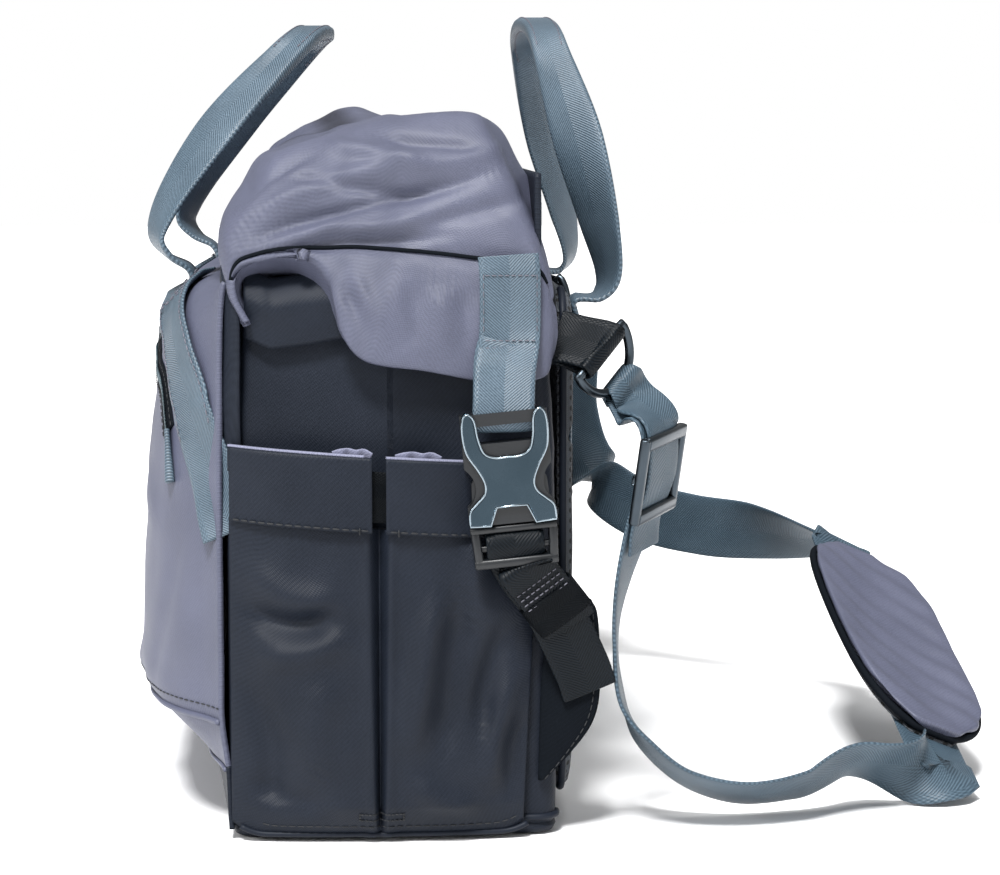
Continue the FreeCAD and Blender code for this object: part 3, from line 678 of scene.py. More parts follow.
def makeFrontZip():
    # Tape along the arch with a coil on it: one row of turned, leaning spindles.
    route = softPath(np.array([(x, 0, z) for x, z in zipArch]), 240)
    tangent = unit(np.gradient(route, axis=0))
    side = np.stack([-tangent[:, 2], np.zeros(240), tangent[:, 0]], 1)
    across = np.linspace(-6, 6, 9)
    flat = route[:, None] + side[:, None] * across[None, :, None]
    lift = 0.5 + 0.5 * np.exp(-(across / 3.0) ** 2)
    tape = pocketPoint(flat[..., 0], flat[..., 2], lift[None])
    band = sheet("front_zip_tape", tape, "dark_lining", "bag", 1.0)
    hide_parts("front_zip")
    line = pocketPoint(route[:, 0], route[:, 2], 1.2)
    sewn("front_zip_coil", [stitchRun(line, (0, -1, 0), 4.6, 0.35, 0.55, True, 0.12)], "zip_coil", "bag")
    rows = [pocketPoint(route[:, 0] + side[:, 0] * k, route[:, 2] + side[:, 2] * k, 1.05)
            for k in (-4.8, 4.8)]
    sewn("front_zip_stitching", [stitchRun(row, (0, -1, 0), 2.0, 0.8, 0.25) for row in rows], "dark_thread",
         "bag")
    for name, k in sides.items():
        # a folded grip tab where the coil ends
        start = pocketPoint(135 * k, 152, 1.2)
        way = np.array([0.20 * k, 0.06, -1.0])
        route2 = [start, start + way * 7, start + way * 14, start + way * 20]
        tab = strap("zip_tab_" + name, route2, (1, 0, 0), 8.0, [2.0, 2.6, 3.4, 4.0], "blue_webbing", "bag",
                    24)
        if k == 1:
            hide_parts("front_zip_tabs")


def onPocket(route, lift):
    # Points over the pocket's face with the directions out of it and across the route.
    flat = softPath(np.array([(x, 0, z) for x, z in route]), 60)
    points = pocketPoint(flat[:, 0], flat[:, 2], lift)
    dx = pocketPoint(flat[:, 0] + 2, flat[:, 2], lift) - pocketPoint(flat[:, 0] - 2, flat[:, 2], lift)
    dz = pocketPoint(flat[:, 0], flat[:, 2] + 2, lift) - pocketPoint(flat[:, 0], flat[:, 2] - 2, lift)
    out = unit(np.cross(dx, dz))
    along = unit(np.gradient(points, axis=0))
    return points, out, unit(np.cross(out, along))


def makeFrontAnchors():
    for name, k in sides.items():
        points, out, across = onPocket([(99, 207), (118, 200), (137, 188), (151, 171), (158, 153)], 1.6)
        # round the front corner of the end, where the side pocket's hem covers its foot
        corner = np.array([(163, -67.4, 138), (167.4, -63.4, 126.0), (169.2, -60.0, 117.0)])
        cornerOut = unit(np.array([(0.7, -0.72, 0.05), (0.85, -0.5, 0), (0.95, -0.3, 0)]))
        foot = np.vstack([points[::5], corner])
        turned = np.cross(np.vstack([out[::5], cornerOut]), unit(np.gradient(foot, axis=0)))
        pieceName = "front_handle_anchor_" + name
        strap(pieceName, foot, turned, 25.0, 1.8, "blue_webbing", "bag", 90,
                             side=k)
        rows = [points + across * offset + out * 1.0 for offset in (-10.6, 10.6)]
        runs = [stitchRun(row[6:], out[30], 2.2, 0.8, 0.26) for row in rows]
        box = points[8] + out[8] * 1.1
        corner = [box + across[8] * a + unit(points[12] - points[4]) * b
                  for a, b in ((-9, -7), (9, -7), (9, 7), (-9, 7), (-9, -7), (9, 7), (9, -7), (-9, 7))]
        runs += [stitchRun([a, b], out[8], 2.0, 0.7, 0.3) for a, b in zip(corner, corner[1:])]
        sewn("front_anchor_stitching_" + name, runs, "pale_thread", "bag", side=k)
    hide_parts("front_handle_anchors")


makeFrontPocket()
makeFrontZip()
makeFrontAnchors()
print("front pocket ready")


# side pockets

sidePocket = {"front": -61.0, "back": 53.0, "bulge": 15.0, "low": 2.5, "hem": 123.0, "top": 149.0,
              "slope": -7.0, "slit": -5.5, "folds": 2.9}

# lines over the pouch in (y, z), each with its width and its height

pocketFolds = [
    ([(-60, 108), (-46, 98), (-30, 93), (-14, 96)], 6.0, 1.1),
    ([(-60, 94), (-48, 86), (-34, 84), (-18, 90)], 4.5, -1.3),
    ([(-58, 78), (-42, 72), (-26, 76), (-12, 84)], 6.0, 1.1),
    ([(-60, 66), (-50, 50), (-46, 30), (-48, 10)], 6.0, -1.4),
    ([(-22, 70), (-30, 46), (-28, 20)], 8.0, 1.2),
    ([(20, 104), (14, 82), (10, 58), (4, 30)], 6.0, 1.6),
    ([(28, 108), (23, 80), (19, 48), (14, 22)], 6.5, -1.5),
    ([(52, 92), (40, 78), (33, 58), (31, 34)], 5.0, -1.3),
    ([(53, 74), (44, 58), (38, 36), (37, 16)], 5.0, 1.4),
    ([(53, 52), (45, 38), (43, 14)], 4.0, -1.3),
    ([(-58, 26), (-40, 18), (-20, 14)], 5.0, -1.0),
    ([(2, 26), (16, 18), (34, 12)], 5.0, 1.1),
    ([(36, 120), (30, 100), (30, 78)], 6.0, 1.1),
]


def hemSlope(y):
    return sidePocket["slope"] * (y - sidePocket["front"]) / (sidePocket["back"] - sidePocket["front"])


def pocketBow(y):
    # The pocket stands out from the panel as a flattened parabola between its two seams.
    middle = (sidePocket["front"] + sidePocket["back"]) / 2
    half = (sidePocket["back"] - sidePocket["front"]) / 2
    return (sidePocket["bulge"] - 2) * (1 - abs((y - middle) / half) ** 2.6) + 2.0


def pocketWall(y, z, lift=0.0):
    # The pouch: the bow, drawn in at the bottom seam, creased, and folded inwards along the middle pleat.
    height = bounded(z, sidePocket["low"], sidePocket["hem"])
    belly = 0.86 + 0.14 * np.sin(height * math.pi)
    foot = np.minimum(1, np.sqrt(np.clip(z - 1.0, 0.05, 60) / 14))
    folds = waves(y, z, 34, 21) * 0.9 + waves(y, z, 14, 22) * 0.3
    for line, width, depth in pocketFolds:
        folds = folds + crease(y, z, line, width, depth * sidePocket["folds"])
    folds = folds * bounded(z, 2, 16) * (1 - 0.6 * bounded(z, 112, 123))
    pleatWidth = 0.9 + 1.6 * height
    pleat = 5.2 * np.exp(-abs((y - sidePocket["slit"]) / pleatWidth) ** 1.6) * bounded(z, 3, 12)
    lips = 1.1 * np.exp(-((abs(y - sidePocket["slit"]) - 3.2 - height) / 2.4) ** 2)
    edge = bounded(abs(y + 4) - 40, 0, 14)
    x = body["halfX"] + pocketBow(y) * belly * foot + folds * (1 - 0.4 * edge) - pleat + lips + lift
    return np.stack([x, y, z], -1)


def onHem(grid, ys, places, rises):
    # A sewing line over the hem's outer face, given by two places along it and their rises.
    t = np.linspace(0, 1, 40)
    yl = places[0] + (places[1] - places[0]) * t
    rise = rises[0] + (rises[1] - rises[0]) * t
    row = bounded(rise, 0, 26.5) * 0.72 * 33 / 26.5
    column = np.interp(yl, ys, np.arange(60))
    r0, c0 = np.clip(row.astype(int), 0, 32), np.clip(column.astype(int), 0, 58)
    fr, fc = (row - r0)[:, None], (column - c0)[:, None]
    g = (grid[r0, c0] * (1 - fr) * (1 - fc) + grid[r0 + 1, c0] * fr * (1 - fc)
         + grid[r0, c0 + 1] * (1 - fr) * fc + grid[r0 + 1, c0 + 1] * fr * fc)
    return g + (0.45, 0, 0)


def makeSidePocket(name, k):
    y = np.concatenate([np.linspace(-61, -12, 70), np.linspace(-11.6, 0.6, 50), np.linspace(1.4, 53, 70)])
    low = sidePocket["low"] + 5.0 * bounded(abs(y + 4), 44, 57) ** 2
    share = np.linspace(0, 1, 120)[:, None] ** 0.9
    z = low[None] + (sidePocket["hem"] + hemSlope(y)[None] - low[None]) * share
    back = sidePocket["back"] - 4.5 * (1 - bounded(z, 12, 100))
    yy = np.where(y > 0, y * back / sidePocket["back"], y + 0 * z)
    wall = pocketWall(yy, z)
    turnIn = wall[:, [0, -1]] + np.array([(-12, -2.0, 0), (-9, -0.6, 0)])   # seam allowance back to the panel
    wall = np.concatenate([turnIn[:, :1], wall, turnIn[:, 1:]], axis=1)
    pouch = sheet("side_pocket_cloth_" + name, wall, "charcoal_fabric", "bag", 2.0, k)
    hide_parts("side_pocket_" + name)
    runs, hems = [], []
    for part, (start, end) in enumerate(((sidePocket["front"], sidePocket["slit"] - 2.6),
                                          (sidePocket["slit"] + 2.6, sidePocket["back"]))):
        ys = np.linspace(start, end, 60)
        turn = np.linspace(0, 1, 34)[:, None]
        base = sidePocket["hem"] + hemSlope(ys)[None] - 1.0
        # the hem is a folded band: up the outside, over the top and a little way down the inside
        up = bounded(turn, 0, 0.72) * 26.5
        over = bounded(turn, 0.72, 0.86) * math.pi
        down = bounded(turn, 0.86, 1.0) * 8.0
        height = base + up + np.sin(over) * 1.3 - down
        out = 1.6 - (1 - np.cos(over)) * 1.3
        yy = np.broadcast_to(ys, height.shape)
        droop = 0.9 * np.exp(-((yy - sidePocket["slit"]) / 5.0) ** 2) * bounded(height, 122, 148)
        sway = waves(yy, height, 30, 31 + part) * 0.5 + waves(yy, height, 11, 33) * 0.22
        bow = pocketBow(yy) * (0.97 - 0.035 * bounded(height, 122, 150))
        fitted = body["halfX"] + bow + out + sway + droop
        grid = np.stack([fitted, yy, height], -1)
        hems.append(sheet(f"pocket_hem_{name}_{part}", grid, "charcoal_fabric", "bag",
                          1.1, k))
        line = onHem(grid, ys, (start + 1, end - 1), (23.4, 23.4))
        runs.append(stitchRun(line, (1, 0, 0), 2.6, 0.9, 0.42))
        beside = end - 4.6 if part == 0 else start + 4.6
        line = onHem(grid, ys, (beside, beside), (1.0, 25.5))
        runs.append(stitchRun(line, (1, 0, 0), 2.4, 0.8, 0.38))
        # the pale lining edge that shows along the hem's top, and a folded piece standing above it
        rim = grid[26] + (-0.8, 0, 0.25)
        strap(f"hem_lining_{name}_{part}", rim[::4], (1, 0, 0), 2.2, 0.9, "pocket_lining", "bag",
              60, side=k)
        lift = [(-22, -8.5), (1.0, 17.0)][part]
        fold = [(166.5 + pocketBow(yl) + shift, yl, sidePocket["top"] + hemSlope(yl) + h)
                for yl, h, shift in zip(np.linspace(*lift, 6), (0.2, 1.3, 1.5, 1.2, 1.6, 0.4),
                                        (0.4, 1.0, -0.4, 0.8, -0.2, 0.4))]
        strap(f"pocket_lining_fold_{name}_{part}", fold, (0.25, 0, 1), 4.2, 0.8, "pocket_lining", "bag",
              40, side=k)
    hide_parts("pocket_hem_" + name)
    rib = [(body["halfX"] + pocketBow(yl) - 2.4, yl, 135 + hemSlope(yl)) for yl in np.linspace(-17, 6, 6)]
    elastic = strap("pocket_elastic_cloth_" + name, rib, (0, 0, 1), 19.0, 0.9, "elastic", "bag",
                    40, side=k)
    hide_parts("pocket_elastic_" + name)
    ys = np.linspace(-50, 46, 90)
    floorLine = pocketWall(ys, sidePocket["low"] + 4.2 + 5.0 * bounded(abs(ys + 4), 40, 54) ** 2, 0.15)
    runs.append(stitchRun(floorLine, (1, 0, 0.3), 2.5, 0.8, 0.3))
    tack = [pocketWall(np.linspace(-13, 3, 12), np.full(12, height), 0.3) for height in (9.6, 12.2)]
    for row in tack:
        runs.append(stitchRun(row, (1, 0, 0.2), 1.2, 0.35, 0.34))
    for yl in (-13.2, 3.2):
        ends = pocketWall(np.full(6, yl), np.linspace(9.2, 12.8, 6), 0.3)
        runs.append(stitchRun(ends, (1, 0, 0.2), 1.1, 0.3, 0.34))
    sewn("side_pocket_stitching_" + name, runs, "dark_thread", "bag", side=k)
    ys = np.linspace(-58, 50, 80)
    lip = pocketWall(ys, 3.0 + 5.0 * bounded(abs(ys + 4), 44, 57) ** 2, 0.4)
    tube("side_pocket_lip_" + name, lip, 1.1, "charcoal_fabric", "bag", "charcoal_fabric", side=k)


for name, k in sides.items():
    makeSidePocket(name, k)
print("side pockets ready")


# collar

collar = {"gussetX": 163.0, "low": 176.0}


def makeCollar():
    for name, k in sides.items():
        y = np.linspace(-56, 51, 60)
        top = np.interp(y, [-57, -50, -40, -25, 34, 51], [217, 228, 236, 240, 240, 234])
        z = collar["low"] + (top - collar["low"])[None] * np.linspace(0, 1, 46)[:, None]
        yy = np.broadcast_to(y, z.shape)
        fold = (crease(yy, z, [(-40, 180), (-34, 205), (-30, 240)], 6, 3.0)
                + crease(yy, z, [(-10, 182), (-6, 210), (-4, 246)], 8, -2.5) + waves(yy, z, 30, 41) * 1.2)
        lean = 0.7 * np.clip(z - 205, 0, 60) + 4.0 * bounded(z, 190, 205)
        gusset = sheet("collar_gusset_cloth_" + name, np.stack([collar["gussetX"] + fold - lean, yy, z], -1),
                       "dark_lining", "bag", 1.8, k)
        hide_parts("collar_gusset_" + name)
        # the top of the side panel: a soft lip folded outwards over the seam
        y = np.linspace(-55, 54, 90)
        foot = np.interp(y, [-55, -45, -32, -18, 10, 54], [189.5, 185.5, 187.0, 189.5, 186, 186])
        turn = np.linspace(0, 1, 26)[:, None]
        x = 170.2 + 1.6 * np.sin(turn * 2.2) - 9.0 * bounded(turn, 0.5, 1.0) ** 1.6
        z = foot[None] + 26 * turn ** 0.9
        yy = np.broadcast_to(y, z.shape)
        sway = waves(yy, z, 22, 43) * 1.0
        x = np.broadcast_to(x, z.shape) + sway * bounded(turn, 0, 0.3) - 3.0 * bounded(abs(yy + 2), 46, 56)
        sheet("collar_lip_" + name, np.stack([x, yy, z], -1), "charcoal_fabric", "bag",
              1.6, k)
    x = np.linspace(-164, 164, 160)
    z = np.linspace(172, 250, 40)
    xx, zz = np.meshgrid(x, z)
    wave = waves(xx, zz, 60, 45) * 0.5
    back = sheet("back_collar_cloth", np.stack([xx, np.full(xx.shape, 55.4) + wave * 0.4, zz], -1),
                 "charcoal_fabric", "bag", 2.4)
    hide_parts("back_collar")


def makeFrontCollar():
    # From the front corner of one end to the other, between the pocket's top and the roll's front seam.
    plan = [(171, -56.5), (169.5, -60), (166, -62.6), (158, -63.8), (120, -64), (0, -64.6)]
    plan = plan + [(-x, y) for x, y in reversed(plan[:-1])]
    line = softPath(np.array([(x, y, 0) for x, y in plan]), 220)
    top = np.interp(abs(line[:, 0]), [0, 150, 162, 168, 171], [221, 220, 216, 210, 203])
    low = np.interp(abs(line[:, 0]), [0, 120, 150, 160, 167, 171], [200, 198, 160, 140, 134, 146])
    turn = np.linspace(0, 1, 34)[:, None]
    z = low[None] + (top - low)[None] * turn
    away = unit(line[:, :2] - np.clip(line[:, :2], (-150, -44), (150, 44)))
    out = waves(line[None, :, 0] + line[None, :, 1], z, 24, 51) * 0.9 + 1.2 * np.sin(turn * math.pi)
    x = line[None, :, 0] + away[None, :, 0] * out
    y = line[None, :, 1] + away[None, :, 1] * out
    cloth = sheet("front_collar_cloth", np.stack([x, y, z], -1), "charcoal_fabric", None, 1.6)
    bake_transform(cloth)


makeCollar()
makeFrontCollar()
print("collar ready")


# roll top

rollStations = [
    # x, then (y, z) or (x, y, z) from the front seam over the ridge to the back edge
    (0, [(-64.5, 219), (-65, 228), (-62, 237), (-56, 245), (-48, 253), (-38, 260), (-29, 264), (-21, 266),
         (-12, 267), (2, 268), (18, 269), (32, 269), (41, 264), (47, 256), (54, 247)]),
    (70, [(-64.5, 219), (-65, 228), (-62, 238), (-56, 247), (-48, 256), (-38, 263), (-29, 267), (-21, 269),
          (-12, 269), (2, 269), (18, 270), (32, 270), (41, 265), (47, 256), (54, 247)]),
    (118, [(-64.5, 219), (-65, 228), (-62, 238), (-56, 247), (-48, 255), (-38, 260.5), (-29, 263.5),
           (-21, 266), (-12, 268), (2, 270), (18, 271.5), (32, 271.5), (40, 266), (47, 255), (55, 244)]),
    (142, [(-64.5, 216), (-65, 226), (-61.5, 236), (-54, 246), (-46, 254), (-37, 259.5), (-30, 262),
           (-22, 264), (-12, 266), (2, 269), (18, 271.5), (32, 271), (38.5, 264), (47, 248), (55.5, 232)]),
    (160, [(-62.5, 209), (-64, 219), (-61.5, 229), (-56, 237), (-48, 243), (-38, 247), (-30, 249), (-22, 251),
           (-12, 253), (2, 255), (18, 256), (34, 254), (44, 247), (52, 234), (58.5, 216)]),
    (172.5, [(-55, 196), (-59.5, 205), (-60, 213), (-56.5, 218.5), (-49, 221), (-41, 222.5), (-33, 223.5),
             (-24, 223.5), (-13, 223.5), (0, 222.5), (16, 221), (32, 219), (46, 217), (55, 214), (60, 203)]),
    (176.5, [(166, -51, 195), (167, -55.5, 204), (168, -56.5, 211), (169.5, -53.5, 216), (170.5, -47, 218.5),
             (171, -40, 219.5), (172.5, -32, 219.5), (176, -24.5, 214), (178.2, -19, 205), (178, -5, 203),
             (177, 14, 201), (176.6, 31, 199), (176.5, 46, 198), (176, 57, 197), (173, 61, 191)]),
    (176.5, [(158, -50, 194), (159, -53.5, 201), (160, -54, 208), (162, -51, 212.5), (164, -45, 215),
             (165, -38, 216), (168, -30, 213.5), (173.5, -23, 205.5), (178.2, -19.3, 194), (179, -10, 184),
             (178, 12, 180), (177, 30, 176.5), (176.6, 45, 175.5), (175.6, 56.5, 177.5), (172, 59.5, 183)]),
    (176.5, [(150, -49, 193), (151, -51, 200), (152, -51.5, 206), (154, -48, 210), (157, -43, 212),
             (159, -36, 212), (164, -29, 208), (171, -22.5, 200), (175.5, -18.5, 190), (176, -9.5, 181),
             (175.6, 12, 177.5), (174.6, 30, 174.4), (174, 45, 173.6), (173, 56, 175.5), (170, 58, 182)]),
]

# ridges and valleys on the sloping ends, in (y, z)
rollFolds = [
    ([(-61, 226), (-44, 238), (-18, 248), (14, 256), (34, 262)], 3.6, 3.0),
    ([(-60, 220), (-40, 231), (-10, 238), (26, 247), (46, 254)], 2.6, -3.4),
    ([(-57, 217), (-32, 227), (2, 232), (34, 240)], 3.0, 2.6),
    ([(-63, 231), (-54, 243), (-40, 253), (-24, 259)], 2.6, -2.8),
    ([(-50, 219), (-24, 226), (4, 226), (30, 229)], 2.2, -2.2),
    ([(-12, 266), (8, 262), (38, 259)], 2.6, -2.6),
    ([(-30, 262), (-10, 258), (18, 252)], 3.0, 2.4),
    ([(-48, 250), (-26, 247), (2, 243), (22, 245)], 2.4, -2.0),
    ([(-36, 224), (-16, 234), (6, 240)], 2.4, 1.8),
    ([(-8, 247), (18, 253), (46, 261)], 3.0, 1.7),
    ([(4, 231), (30, 236), (54, 242)], 3.0, -1.8),
    # ear: soft radial folds where it is gathered
    ([(-2, 180), (-4, 192), (-12, 208), (-16, 219)], 3.4, 2.0),
    ([(-8, 184), (-12, 196), (-19, 212)], 2.6, -2.0),
    ([(4, 180), (8, 196), (6, 212)], 4.0, -1.7),
    ([(12, 178), (18, 192), (16, 210)], 4.5, 1.8),
    ([(24, 178), (27, 194), (25, 210)], 3.6, -1.5),
    ([(-4, 178), (4, 184), (14, 188)], 2.6, 1.2),
]


def rollStation(x, row, side):
    return [(p[0] * side, p[1], p[2]) if len(p) == 3 else (x * side, p[0], p[1]) for p in row]


def makeRoll():
    # A loft from ear to ear. The seam that the ears hang from is the station at rollStations[5].
    stations = [rollStation(x, row, -1) for x, row in rollStations[:0:-1]]
    stations += [rollStation(x, row, 1) for x, row in rollStations]
    grid = loft(stations, 400, 230)
    x, y, z = np.moveaxis(grid, -1, 0)
    out = gridNormals(grid)
    end = bounded(abs(x), 118, 140)
    lift = waves(x, y + z, 85, 61) * 2.0 * (1 - end)
    lift = lift + waves(x, y + z, 30, 62) * 0.6 + waves(x, y + z, 11, 63) * 0.25
    for line, width, height in rollFolds:
        lift = lift + crease(y, z, line, width, height) * end * np.where(x > 0, 1.15, 0.9)
    # the middle of the roll: long ridges along it, and a hump towards the far end
    for at, width, height in ((-52, 7, 2.4), (-30, 9, -2.2), (-6, 8, 1.8), (22, 10, -1.6), (38, 6, 1.8)):
        drift = at + 6 * np.sin(x / 55 + at)
        lift = lift + height * np.exp(-((y - drift) / width) ** 2) * (1 - end) * bounded(z, 235, 255)
    lift = lift + 6.0 * np.exp(-((x + 82) / 34) ** 2 - ((y + 20) / 26) ** 2)
    rows = np.linspace(0, len(stations) - 1, 400)
    lip = bounded(abs(rows - (len(stations) - 1) / 2), 5.6, 6.6)
    seamDip = -1.3 * np.exp(-((abs(rows - (len(stations) - 1) / 2) - 5) / 0.12) ** 2)
    lift = lift * (1 - 0.75 * lip[:, None]) + seamDip[:, None]
    if out[200, 115, 2] < 0:
        out = -out
    grid = grid + out * lift[..., None]
    roll = sheet("roll_top_cloth", grid, "slate_fabric", "flap", 2.2, inside=(0, 0, 200))
    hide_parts("roll_top")
    seamRow = {"right": np.abs(rows - 13).argmin(), "left": np.abs(rows - 3).argmin()}
    for name, row in seamRow.items():
        line = grid[row, 20:222] + out[row, 20:222] * 0.5
        tube("roll_seam_" + name, line[::2], 0.75, "dark_lining", "flap", "slate_fabric")
    inner = (grid - out * 3.2)[95:305:3, 60:175:3]
    board = sheet("roll_board", inner, "board", "flap", 1.6, inside=(0, 0, 200))
    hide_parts("roll_stiffener")


makeRoll()
print("roll top ready")


# carry handles

handle = {"width": 24.0, "thickness": 2.6, "gripWidth": 14.0, "gripThickness": 6.0}
handleRoutes = {
    "front": ((98, -79, 212), [(-1, 4, -8), (0, 0, 0), (1, -8, 5), (1, -12.5, 14), (0, -5, 31), (-7, 14, 58),
                               (-25, 36, 82), (-46, 46, 92), (-98, 50, 94)]),
    "back": ((98, 73, 199), [(-1, 0.5, -8), (0, 0, 0), (1, 9, 1.5), (1, 13.5, 10), (0, 10, 30), (-5, 2, 62),
                             (-22, -7, 95), (-44, -10, 107), (-98, -11, 111)]),
}


def makeHandle(name, bodyName):
    # One strap from leg to leg: its width lies along X at the roots and across the arch at the top.
    root, steps = handleRoutes[name]
    right = np.array(root, float) + np.array(steps, float)
    left = right[-2::-1] * (-1, 1, 1)
    turn = np.radians(np.array([0, 0, 8, 18, 34, 55, 74, 84, 90]))
    across = np.stack([np.cos(turn), np.sin(turn), 0 * turn], 1)
    acrossLeft = across[-2::-1] * (-1, 1, 1)
    share = np.array([0, 0, 0, 0, 0, 0.2, 0.9, 1, 1])
    share = np.concatenate([share, share[-2::-1]])
    width = handle["width"] + (handle["gripWidth"] - handle["width"]) * share
    thickness = handle["thickness"] + (handle["gripThickness"] - handle["thickness"]) * share
    route = np.vstack([right, left])
    acrossAll = np.vstack([across, acrossLeft])
    strapPiece = strap(name + "_handle_webbing", route, acrossAll, width, thickness, "blue_webbing", bodyName,
                       320, edge=0.34)
    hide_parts(name + "_handle")
    middle = softPath(np.hstack([route, acrossAll]), 200)
    along = unit(np.gradient(middle[:, :3], axis=0))
    out = unit(np.cross(along, unit(middle[:, 3:])))
    grip = slice(62, 138)
    rows = [middle[:, :3] + out * d * 3.0 + unit(middle[:, 3:]) * e for d in (-1, 1) for e in (-5.0, 5.0)]
    runs = [stitchRun(row[grip], out[100], 2.4, 0.8, 0.3) for row in rows]
    sewn(name + "_handle_stitching", runs, "pale_thread", bodyName)


makeHandle("front", "front_carry")
makeHandle("back", "back_carry")
print("handles ready")


# back

back = {"face": 62.0, "half": 152.0, "low": 12.0, "top": 205.0}


def makeBack():
    # A quilted air-mesh pad: crowned between sewn channels, closed by rings that draw in to its edge.
    around = 320
    loop = roundedLoop(back["half"], (back["top"] - back["low"]) / 2, 16, around)
    middle = (back["top"] + back["low"]) / 2
    rings = [(1.0, 0.3), (1.004, 2.0), (0.998, 4.2), (0.985, 5.8), (0.955, 6.8), (0.9, 7.0)]
    rings += [(s, 7.0) for s in np.linspace(0.84, 0.03, 28)]
    scale = np.array([s for s, depth in rings])[:, None]
    x, z = loop[None, :, 0] * scale, loop[None, :, 1] * scale + middle
    depth = np.array([d for s, d in rings])[:, None] + 0 * x
    channel = sum(np.exp(-((x - at) / 2.4) ** 2) for at in (-76, 0, 76))
    cross = np.exp(-((z - 70) / 2.4) ** 2) + np.exp(-((z - 150) / 2.4) ** 2)
    depth = depth - 2.6 * np.clip(channel + cross, 0, 1) * bounded(depth, 5, 7)
    y = back["face"] + depth + waves(x, z, 40, 71) * 0.4 * bounded(depth, 3, 6)
    grid = np.stack([x, y, z], -1)
    total = len(rings) * around
    pad = piece("back_mesh_pad", grid, gridFaces(len(rings), around, tube=True), "back_air_mesh", "bag",
                caps=[range(around), range(total - 1, total - around - 1, -1)])
    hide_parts("back_mesh")
    rim = np.column_stack([loop[:, 0] * 1.004, np.full(around, back["face"] + 2.6),
                           loop[:, 1] * 1.004 + middle])
    tube("back_mesh_binding", rim, 1.5, "charcoal_fabric", "bag", "charcoal_fabric", ring=True)
    for name, k in sides.items():
        route = [(98, 70.2, 198), (98, 70.6, 180), (98, 70.6, 150), (98, 70.4, 120)]
        anchor = strap("back_handle_anchor_" + name, route, (1, 0, 0), 25.0, 1.8, "blue_webbing", "bag",
                       60, side=k)
        if k == 1:
            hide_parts("back_handle_anchors")
        box = [(-10, 6), (10, 6), (10, -14), (-10, -14), (-10, 6), (10, -14), (10, 6), (-10, -14)]
        corner = [(98 + a, 71.6, 136 + b) for a, b in box]
        runs = [stitchRun([p, q], (0, 1, 0), 2.0, 0.7, 0.3) for p, q in zip(corner, corner[1:])]
        sewn("back_anchor_stitching_" + name, runs, "pale_thread", "bag", side=k)
    z = np.linspace(233.5, 244.5, 9)
    xx, zz = np.meshgrid(np.linspace(-84, 84, 120), z)
    tape = sheet("back_zip_tape", np.stack([xx, 56.6 + 0.4 * np.exp(-((zz - 239) / 3) ** 2), zz], -1),
                 "dark_lining", "bag", 0.9)
    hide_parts("back_zip")
    line = np.array([(-82, 57.2, 239), (82, 57.2, 239)], float)
    sewn("back_zip_coil", [stitchRun(line, (0, 1, 0), 4.6, 0.35, 0.5, True, 0.12)], "zip_coil", "bag")
    rows = [np.array([(-83, 57.0, h), (83, 57.0, h)], float) for h in (234.4, 243.6)]
    sewn("back_zip_stitching", [stitchRun(row, (0, 1, 0), 2.0, 0.8, 0.25) for row in rows], "dark_thread",
         "bag")


makeBack()
for node in ("front_zip_slider", "front_zip_pull", "back_zip_slider", "back_zip_pull"):
    dress(node, "zip_metal")
print("back ready")


# closure straps and buckles

buckle = {"x": 184.2, "y": 42.5, "z": 134.0, "tilt": 5.5, "thick": 7.4}
closure = {"y": 43.0, "top": 217.3, "width": 22.5, "thickness": 2.0}


def inBuckle(points):
    # From the buckle's own frame, x out of the bag, y across and z up, to its place on the right side.
    p = np.asarray(points, float)
    tilt = math.radians(buckle["tilt"])
    y = p[..., 1] * math.cos(tilt) - p[..., 2] * math.sin(tilt) + buckle["y"]
    z = p[..., 1] * math.sin(tilt) + p[..., 2] * math.cos(tilt) + buckle["z"]
    return np.stack([p[..., 0] + buckle["x"], y, z], -1)


def plateOutline():
    # Half of the metal face from the hollow between the horns round to the cut-out at the foot.
    half = [(0, 14.0), (4.6, 14.0), (8.6, 16.2), (10.4, 22.0), (11.2, 28.6), (13.4, 31.2), (15.4, 29.4),
            (16.0, 24.0), (15.0, 16.5), (11.4, 10.0), (9.2, 4.8), (9.8, 0.6), (13.2, -2.8), (15.8, -5.6),
            (16.2, -11.0)]
    curve = softPath(np.array([(0, y, z) for y, z in half]), 70)[:, 1:]
    foot = np.array([(8.6, -11.4), (5.8, -4.6), (0, -4.4)])
    right = np.vstack([curve, foot])
    return np.vstack([right, (right * (-1, 1))[-2:0:-1]])


def makePlate(name, k):
    # The face is the outline given a thickness, with its edges bevelled; a pale ring of painted highlight
    # runs round it.
    outline = plateOutline()
    count = len(outline)
    near, far = buckle["thick"] - 0.2, buckle["thick"] + 1.9
    points = np.vstack([np.column_stack([np.full(count, x), outline]) for x in (near, far)])
    ring = np.arange(count)
    faces = np.stack([ring, (ring + 1) % count, (ring + 1) % count + count, ring + count], 1)
    plate = piece("buckle_face_" + name, inBuckle(points), faces, "satin_metal", "closure_" + name,
                  caps=[range(count - 1, -1, -1), range(count, count * 2)], side=k)
    edge = plate.modifiers.new("edge", "BEVEL")
    edge.width = 0.85 * mm
    edge.segments = 3
    edge.limit_method = "ANGLE"
    edge.angle_limit = math.radians(50)
    edge.harden_normals = True
    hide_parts("buckle_plate_" + name)
    # painted highlight: a pale metal ring all round the face's bevelled edge, standing in for the light it
    # reflects
    rim = np.column_stack([np.full(count, far - 0.35), outline * (1 - 0.4 / 16)])
    tube("buckle_highlight_rim_" + name, inBuckle(rim), 0.42, "painted_highlight_metal", "closure_" + name, "gunmetal", ring=True,
         side=k, corners=8)


